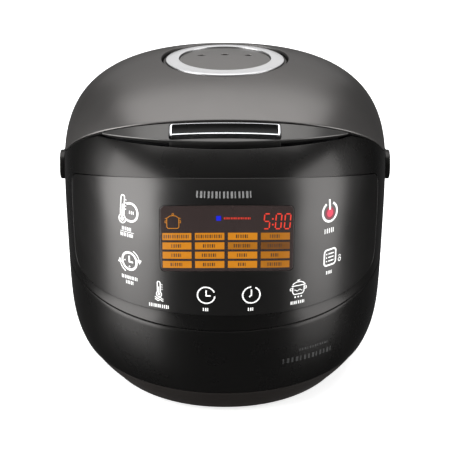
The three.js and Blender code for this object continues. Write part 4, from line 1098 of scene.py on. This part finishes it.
def well_rows():
    brim = body_point(turns, height_on(turns, lambda y: seam_z(y) - SEAM_GAP / 2, 170))
    brim = brim - body_normal(brim) * (SKIN + 0.3)
    level = lambda drop: (lambda y: seam_z(y) - SEAM_GAP / 2 - drop)
    brim[:, 2] = level(0.2)(brim[:, 1])
    rows = [brim, (brim + well_row(-3, level(0.2))) / 2, well_row(-1.6, level(0.2))]
    rows[1][:, 2] = level(0.2)(rows[1][:, 1])
    for k in range(5):
        t = math.pi / 2 * k / 4
        rows.append(well_row(-1.4 + 1.4 * math.sin(t), level(0.2 + 1.4 * (1 - math.cos(t)))))
    for k in range(6):
        t = math.pi / 2 * k / 5
        rows.append(well_row(3 - 3 * math.cos(t), z=DECK_Z + 3 - 3 * math.sin(t)))
    hole = BOWL["radius"] + 1.2
    rows += [circle_row(hole + 1.2, DECK_Z, BOWL["y"]), circle_row(hole, DECK_Z - 0.6, BOWL["y"]),
             circle_row(hole, DECK_Z - 2.4, BOWL["y"])]
    return rows


loft("bowl_well", well_rows(), inner_plastic, "base", "inner_plastic", ["bowl_deck"], sharp=50)


def bowl_profile():
    radius, floor, wall, heel = (BOWL[word] for word in ("radius", "floor", "wall", "heel"))
    low = DECK_Z + 0.3
    top = low + wall
    outside = [(0, floor)] + arc(radius - heel, floor + heel, heel, -90, 0, 12)
    brim = rounded_profile([outside[-1], (radius, low, 1.0), (BOWL["rim"], low, 0.7), (BOWL["rim"], top, 0.7),
                            (radius - wall, top, 1.4), (radius - wall, floor + heel)])
    inside = arc(radius - heel, floor + heel, heel - wall, 0, -90, 12) + [(0, floor + wall)]
    return outside[:-1] + brim + inside


loft("bowl", lathe(bowl_profile(), 144, y=BOWL["y"]), bowl_coating, "base", "bowl_coating",
     ["cooking_bowl"], sharp=60)


def liner_rows():
    rise = lambda lift: (lambda y: seam_z(y) + SEAM_GAP / 2 + lift)
    brim = body_point(turns, height_on(turns, rise(0), 170))
    brim = brim - body_normal(brim) * (SKIN + 0.6)
    brim[:, 2] = rise(0)(brim[:, 1])
    bottom = SEAM_REAR_Z + SEAM_GAP / 2
    rows = [brim]
    for k in range(4):
        t = math.pi / 2 * k / 3
        rows.append(well_row(2 - 1.5 * (1 - math.sin(t)), rise(0)))
    for k in range(6):
        t = math.pi / 2 * k / 5
        rows.append(well_row(2 + 2.5 * (1 - math.cos(t)), z=bottom + 2.5 * (1 - math.sin(t))))
    rows += [circle_row(112.5, bottom, BOWL["y"]), circle_row(112, bottom + 0.8, BOWL["y"]),
             circle_row(103, bottom + 0.8, BOWL["y"]), circle_row(11.5, bottom + 0.8, VENT["y"])]
    for row in rows:
        row[:, 2] = np.maximum(row[:, 2], bottom)
    return rows


loft("lid_lining", liner_rows(), inner_plastic, "lid", "inner_plastic", ["lid_liner"], sharp=50)

seal_top = SEAM_REAR_Z + SEAM_GAP / 2 - 0.3
seal_out = BOWL["rim"] - 3
lip_z, web_z, bead_z = seal_top - 4, seal_top - 1.7, seal_top - 3.6
profile = rounded_profile([(seal_out, seal_top), (seal_out, lip_z, 1.4), (seal_out - 2.4, lip_z, 1),
                           (seal_out - 3, web_z, 0.8), (seal_out - 5, web_z, 0.8),
                           (seal_out - 5.4, bead_z, 0.8), (seal_out - 7.5, bead_z, 0.9),
                           (seal_out - 7.5, seal_top)])
loft("lid_gasket", lathe(profile, 144, y=BOWL["y"]), silicone, "lid", "silicone", ["lid_seal"])

plate_r = seal_out - 7.8
pressed_z = seal_top - 1.0
profile = rounded_profile([(plate_r, seal_top), (plate_r, web_z, 0.6), (plate_r - 6, web_z, 1),
                           (plate_r - 8, pressed_z, 1), (60, pressed_z, 1), (58, web_z, 1),
                           (40, web_z, 1), (39.2, seal_top)])
loft("inner_plate_rim", lathe(profile, 144, y=BOWL["y"]), aluminium, "lid", "aluminium")


# ------------------------------------------------------------------ prints on the panel and window

def stroke(points, width, closed=False):
    """A line of the given width as a strip: its left and right edges, mitred."""
    p = np.array(points, float)
    p = p[np.linalg.norm(p - np.roll(p, 1, 0), axis=1) > 1e-6]
    if closed:
        run_in, run_out = unit(p - np.roll(p, 1, 0)), unit(np.roll(p, -1, 0) - p)
    else:
        run = unit(np.diff(p, axis=0))
        run_in, run_out = np.vstack([run[:1], run]), np.vstack([run, run[-1:]])
    side = lambda d: np.stack([-d[:, 1], d[:, 0]], -1)
    mean = unit(side(run_in) + side(run_out))
    length = width / 2 / np.maximum(0.5, (mean * side(run_in)).sum(-1, keepdims=True))
    return p + mean * length, p - mean * length, closed


def circle(cx, cy, radius, start=0, end=360, steps=28):
    points = arc(cx, cy, radius, start, end, steps)
    return points[:-1] if end - start == 360 else points


class Print:
    """Flat marks laid on the front skin: strokes and filled outlines in mm about a centre."""

    def __init__(self, lift=0.08, flat=False):
        self.verts, self.faces, self.lift, self.flat = [], [], lift, flat

    def place(self, centre, local):
        x, z = centre
        if self.flat:
            spot = arched(local + np.array(centre))
            uv = on_body(spot[:, 0], spot[:, 1])
            return pane_skin.point(uv) + pane_skin.normal(uv) * self.lift
        a = on_body(np.array([x]), np.array([z]))[0, 0]
        here = body_point(np.array([a - 1e-3, a + 1e-3]), np.array([z, z]))
        metric = np.linalg.norm(here[1] - here[0]) / 2e-3
        uv = np.stack([a + local[:, 0] / metric, z + local[:, 1]], -1)
        return plain_skin.point(uv) + plain_skin.normal(uv) * self.lift

    def line(self, centre, points, width=0.9, closed=False):
        points = np.array(points, float)
        fine = resampled(points, 1.6)
        if not closed:
            fine = fine[:np.flatnonzero((fine == points[-1]).all(1))[-1] + 1]
        left, right, closed = stroke(fine, width, closed)
        n, start = len(left), sum(len(v) for v in self.verts)
        self.verts += [self.place(centre, left), self.place(centre, right)]
        for i in range(n if closed else n - 1):
            j = (i + 1) % n
            self.faces.append((start + i, start + n + i, start + n + j, start + j))

    def area(self, centre, points):
        points = np.array(points, float)
        n, start, middle = len(points), sum(len(v) for v in self.verts), points.mean(0)
        rings = [middle + (points - middle) * share for share in (1, 0.66, 0.33)]
        self.verts.append(self.place(centre, np.vstack(rings + [middle])))
        self.faces += skinned(rings, start=start)
        self.faces += [(start + 2 * n + i, start + 2 * n + (i + 1) % n, start + 3 * n) for i in range(n)]

    def bar(self, centre, x0, x1, y0, y1):
        n = max(1, int((x1 - x0) / 3))
        xs = np.linspace(x0, x1, n + 1)
        self.line(centre, [(x, (y0 + y1) / 2) for x in xs], y1 - y0)

    def build(self, name, material, slot):
        make(name, np.vstack(self.verts), self.faces, material, "base", slot)


def lettering(marks, centre, y, count, height, pace):
    """A row of plain upright marks, evenly paced, where the object carries words."""
    x = -pace * count / 2
    for k in range(count):
        width = pace * (0.5, 0.34, 0.58, 0.44)[(k * 7 + count) % 4]
        marks.line(centre, [(x + width / 2, y - height / 2), (x + width / 2, y + height / 2)], width)
        x += pace


icons = Print()

# keep-warm and cancel: thermometer in front of an open ring
c = (-78, 174)
bulb, tube, top = (-5.0, -7.8), 1.9, 9.6
start = math.degrees(math.acos(tube / 3.5))
outline = circle(*bulb, 3.5, start, -180 - start) + circle(bulb[0], top, tube, 180, 0, 10)
icons.line(c, outline, 0.95, True)
icons.area(c, circle(*bulb, 1.8, 0, 360, 20)[::-1])
icons.line(c, [(bulb[0], bulb[1]), (bulb[0], 4.4)], 1.0)
for k in range(4):
    icons.line(c, [(-2.3, 0.6 + 2.5 * k), (-0.9, 0.6 + 2.5 * k)], 0.6)
icons.line(c, circle(3.2, -1.2, 7.4, 122, -122), 1.7)
lettering(icons, (c[0] + 4.2, c[1]), -1.2, 3, 2.6, 2.0)
lettering(icons, c, -15.6, 6, 3.0, 1.75)
icons.line(c, [(-7, -18.2), (7, -18.2)], 0.4)
lettering(icons, c, -20.8, 8, 3.0, 1.75)

# delayed start: a clock between two curved arrows
c = (-77, 131)
icons.line(c, circle(0, 0, 7.4), 1.8, True)
icons.line(c, [(0, 4.6), (0, -0.5), (3.8, -0.5)], 1.4)
icons.area(c, circle(0, -4.7, 0.7, 0, 360, 12))
icons.area(c, circle(-4.7, 0, 0.6, 0, 360, 12))
for flip in (1, -1):
    icons.line(c, [(flip * x, flip * y) for x, y in circle(0, 0, 10.3, 12, 66)], 0.8)
    icons.area(c, [(flip * x, flip * y) for x, y in ((12.4, 2.9), (8.2, 2.9), (10.3, -1.0))])
lettering(icons, c, -14.6, 10, 3.0, 1.75)
lettering(icons, c, -18.9, 5, 3.0, 1.75)

# temperature: thermometer over waves
c = (-53, 111)
bulb, tube, top = (0, -3.2), 1.3, 6.6
start = math.degrees(math.acos(tube / 2.3))
icons.line(c, circle(*bulb, 2.3, start, -180 - start) + circle(0, top, tube, 180, 0, 8), 0.75, True)
icons.area(c, circle(*bulb, 1.1, 0, 360, 16)[::-1])
icons.line(c, [bulb, (0, 3.4)], 0.7)
for k in range(3):
    icons.line(c, [(2.0, 1.4 + 2 * k), (3.4, 1.4 + 2 * k)], 0.5)
for y in (-6.6, -8.4):
    icons.line(c, [(x, y + 0.6 * math.sin(x * 1.5)) for x in np.linspace(-3.8, 3.8, 20)], 0.7)
lettering(icons, c, -13.6, 11, 3.0, 1.7)

# hours and minutes
dials = ((-15, 8, [(0, 4.4), (0, -0.4), (3.6, -0.4)]), (21, 78, [(0, 4.8), (0, -0.2), (-1.8, -1.6)]))
for x, turned, hands in dials:
    c = (x, 111)
    icons.line(c, circle(0, 0, 7.0, turned + 14, turned + 346), 1.1)
    icons.line(c, hands, 1.1)
    lettering(icons, c, -12.4, 3, 2.8, 1.8)

# express: a steaming pot
c = (59, 112)
icons.line(c, [(-5.2, 1.2), (-5.2, -3.4), (-3.8, -5.2), (3.8, -5.2), (5.2, -3.4), (5.2, 1.2)], 0.8)
icons.line(c, [(-6.2, 2.2), (-4.6, 4.2), (-2, 5.4), (2, 5.4), (4.6, 4.2), (6.2, 2.2), (-6.2, 2.2)], 0.8)
icons.line(c, [(-1.3, 6.8), (1.3, 6.8)], 0.9)
for flip in (1, -1):
    icons.line(c, [(flip * 5.4, 0.4), (flip * 7.4, 0.4), (flip * 7.4, -1.4), (flip * 5.4, -1.4)], 0.6)
icons.line(c, [(x, -1.9 + 0.6 * math.sin(x * 1.4)) for x in np.linspace(-3.8, 3.8, 16)], 0.55)
for x in (-2.8, 0, 2.8):
    icons.area(c, circle(x, -7.6, 0.75, 0, 360, 10))
lettering(icons, c, -12.4, 8, 2.8, 1.7)

# menu: a list in a rounded tile, with a small lock
c = (85, 132)
icons.line(c, rounded_rect(-6.4, 6.4, -6.8, 6.8, 2.6, 50, 5), 1.5, True)
for k in (-3.1, 0, 3.1):
    icons.line(c, [(-2, k), (4, k)], 1.0)
    icons.area(c, circle(-3.9, k, 0.65, 0, 360, 10))
icons.line(c, circle(11.4, -4.6, 1.5), 0.7, True)
icons.line(c, circle(11.4, -2.0, 1.2, -10, 190), 0.55)
lettering(icons, c, -13.2, 4, 3.0, 1.9)

# start
c = (84, 172)
icons.line(c, circle(0, -1, 7.8, 118, 422), 1.8)
icons.line(c, [(0, 1.0), (0, 9.4)], 1.9)
lettering(icons, c, -16.6, 5, 4.0, 2.3)
icons.build("panel_icons", white_print_painted_glow, "panel_finish")

# plain marks where the object carries its name and a slogan
plain = Print()
lettering(plain, (0, 194), 0, 15, 5.0, 3.0)
plain.build("name_marks", print_grey, "panel_finish")
faint = Print()
lettering(faint, (74, 56), 0, 12, 2.2, 2.6)
lettering(faint, (70, 48), 0, 13, 4.4, 4.0)
faint.build("slogan_marks", print_faint, "body_finish")

glows = (("start_halo", glow_rose_rim, 0.03, 5.2), ("start_glow", glow_rose, 0.05, 3.4))
for name, material, lift, radius in glows:
    glow = Print(lift)
    glow.area((84, 172), circle(0, -1.8, radius, 0, 360, 28))
    glow.build(name, material, "gloss_black")


# Display: four columns of lit labels, a pot, a lamp with its bar, and a clock
display = {word: Print(0.05, True) for word in ("orange", "amber", "dim", "red", "blue")}
display["dark"] = Print(0.09, True)
left = WINDOW["x"] - WINDOW["half_width"]
pitch = (2 * WINDOW["half_width"] - 2.4) / 4
for col in range(4):
    for row in range(4):
        x0 = left + 2.0 + pitch * col
        x1 = x0 + pitch - 2.8
        z1 = WINDOW["z"] - WINDOW["half_height"] + 32.6 - 7.9 * row
        z0 = z1 - 5.9
        ink = "dim" if (col, row) == (3, 1) else "amber" if col == 3 or (col, row) == (2, 1) else "orange"
        centre = ((x0 + x1) / 2, (z0 + z1) / 2)
        half_width, half_height = (x1 - x0) / 2, (z1 - z0) / 2
        display[ink].bar(centre, -half_width, half_width, -half_height, half_height)
        count = ((12, 5, 5, 6), (12, 6, 7, 6), (6, 8, 5, 4), (5, 7, 4, 7))[col][row]
        lettering(display["dark"], centre, 0, count, 3.0, 1.75)

pot = (left + 10.5, WINDOW["z"] + 15.0)
orange = display["orange"]
orange.line(pot, [(-4.8, 2.2), (-4.8, -4.6), (-3.8, -5.8), (3.8, -5.8), (4.8, -4.6), (4.8, 2.2)], 0.55)
orange.line(pot, [(-6.2, 2.2), (-4.6, 2.6), (-2.4, 4.2), (0, 4.6), (2.4, 4.2), (4.6, 2.6), (6.2, 2.2)], 0.5)
orange.line(pot, circle(0, 5.6, 0.7), 0.4, True)
for flip in (1, -1):
    orange.line(pot, [(flip * 5, 0.4), (flip * 6.2, 0.4), (flip * 6.2, -1.2), (flip * 5, -1.2)], 0.4)
lamp = (WINDOW["x"] - 6.5, WINDOW["z"] + 17.0)
display["blue"].bar(lamp, -1.9, 1.9, -1.9, 1.9)
lettering(display["red"], (WINDOW["x"] + 8.5, lamp[1]), 0, 16, 1.5, 1.35)

SEGMENTS = {"a": [(-1, 2), (1, 2)], "b": [(1, 2), (1, 0)], "c": [(1, 0), (1, -2)], "d": [(-1, -2), (1, -2)],
            "e": [(-1, 0), (-1, -2)], "f": [(-1, 2), (-1, 0)], "g": [(-1, 0), (1, 0)]}
clock = (WINDOW["x"] + 39.6, WINDOW["z"] + 14.6)
for offset, lit in ((-8.2, "afgcd"), (1.0, "abcdef"), (8.2, "abcdef")):
    for name in lit:
        (xa, ya), (xb, yb) = SEGMENTS[name]
        ends = np.array([(xa * 2.2, ya * 3.0), (xb * 2.2, yb * 3.0)])
        trim = (ends[1] - ends[0]) * 0.12
        ends = [ends[0] + trim, ends[1] - trim]
        lean = [(offset + x + 0.08 * y, y) for x, y in ends]
        display["red"].line(clock, lean, 0.95)
for y in (-2.6, 2.0):
    display["red"].bar(clock, -4.2, -3.0, y - 0.6, y + 0.6)
inks = {"orange": glow_orange, "amber": glow_amber, "dim": glow_dim, "red": glow_red, "blue": glow_blue,
        "dark": label_dark}
for word, material in inks.items():
    display[word].build(f"display_{word}", material, "gloss_black")


# ------------------------------------------------------------------ CAD pieces that stay

feet = [f"foot_{k}" for k in (1, 2, 3, 4)]
kept = (
    (rubber, feet),
    (steel, [f"base_screw_{k}" for k in (1, 2, 3, 4)] + [f"inlet_pin_{k}" for k in (1, 2, 3)]),
    (steel, ["side_heater", "sensor_holder", "sensor_spring", "thermal_fuse", "lid_catch", "latch_pin",
             "hinge_pin", "lid_spring"]),
    (aluminium, ["inner_chamber", "heating_plate", "thermal_sensor", "inner_lid_plate"]),
    (inner_plastic, ["display_module", "transformer", "relay", "capacitor", "valve_cup", "latch_hook"]),
    (board_mask, ["control_board", "power_board"]),
    (base_plastic, ["inlet_socket"]),
    (body_paint, ["hinge_bracket"]),
    (silicone, ["steam_duct", "valve_gasket"]),
    (clear_plastic, ["drip_cup"]),
)
for material, names in kept:
    for name in names:
        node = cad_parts[name]
        node.data.materials.clear()
        node.data.materials.append(material)

for name in feet + ["hinge_bracket", "inlet_socket", "latch_hook", "lid_catch", "transformer", "relay",
                    "hinge_pin"]:
    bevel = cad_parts[name].modifiers.new("edges", "BEVEL")
    bevel.width = 0.5 * MM
    bevel.segments = 2
    bevel.limit_method = "ANGLE"
    bevel.angle_limit = math.radians(40)
    bevel.harden_normals = False


# ------------------------------------------------------------------ floor, lights and camera

def floor_plane():
    mesh = bpy.data.meshes.new("floor")
    mesh.from_pydata([(-6, -6, 0), (6, -6, 0), (6, 6, 0), (-6, 6, 0)], [], [(0, 1, 2, 3)])
    mesh.materials.append(finish("floor_paper", (0.86, 0.86, 0.86), 0.85, mottle=(1, 0.01), grain=(40, 0.01),
                                 glow=((1, 1, 1), 0.7)))
    plane = bpy.data.objects.new("floor", mesh)
    bpy.context.scene.collection.objects.link(plane)
    plane.visible_glossy = False
    plane.visible_shadow = False


def softbox(name, place, target, size, power):
    data = bpy.data.lights.new(name, "AREA")
    data.shape = "RECTANGLE"
    data.size, data.size_y = size
    data.energy = power
    lamp = bpy.data.objects.new(name, data)
    lamp.location = place
    lamp.rotation_euler = (Vector(target) - Vector(place)).to_track_quat("-Z", "Y").to_euler()
    bpy.context.scene.collection.objects.link(lamp)
    lamp.visible_camera = False


floor_plane()
softbox("light_top", (0, 0.415, 1.6), (0, 0.415, 0), (2.5, 1.67), 32)
softbox("light_back", (0, 1.7, 1.0), (0, 0, 0.2), (1.8, 1.1), 7)
softbox("light_left", (-1.25, -0.48, 0.2), (0, -0.05, 0.2), (1.15, 1.4), 34)
softbox("light_right", (1.25, -0.45, 0.2), (0, -0.05, 0.2), (0.9, 1.4), 17)


def surroundings():
    """A plain room, brighter overhead than at the level of the object."""
    world = bpy.data.worlds.new("studio")
    bpy.context.scene.world = world
    world.use_nodes = True
    nodes, links = world.node_tree.nodes, world.node_tree.links
    height = nodes.new("ShaderNodeSeparateXYZ")
    links.new(nodes.new("ShaderNodeTexCoord").outputs["Generated"], height.inputs["Vector"])
    background = nodes["Background"].inputs
    links.new(ranged(nodes, links, height.outputs["Z"], 0.1, 0.3, 0.2, 0.9), background["Strength"])
    background["Color"].default_value = (1, 1, 1, 1)
    bpy.context.scene.view_settings.view_transform = "Standard"


def add_camera():
    data = bpy.data.cameras.new("camera")
    data.sensor_width = 36
    data.lens = CAMERA["lens"]
    data.shift_y = CAMERA["shift"]
    data.clip_end = 50
    camera = bpy.data.objects.new("camera", data)
    camera.location = (0, AXIS_Y - CAMERA["distance"], CAMERA["height"])
    camera.rotation_euler = (math.radians(90 - CAMERA["pitch"]), 0, 0)
    bpy.context.scene.collection.objects.link(camera)
    bpy.context.scene.camera = camera


surroundings()
add_camera()
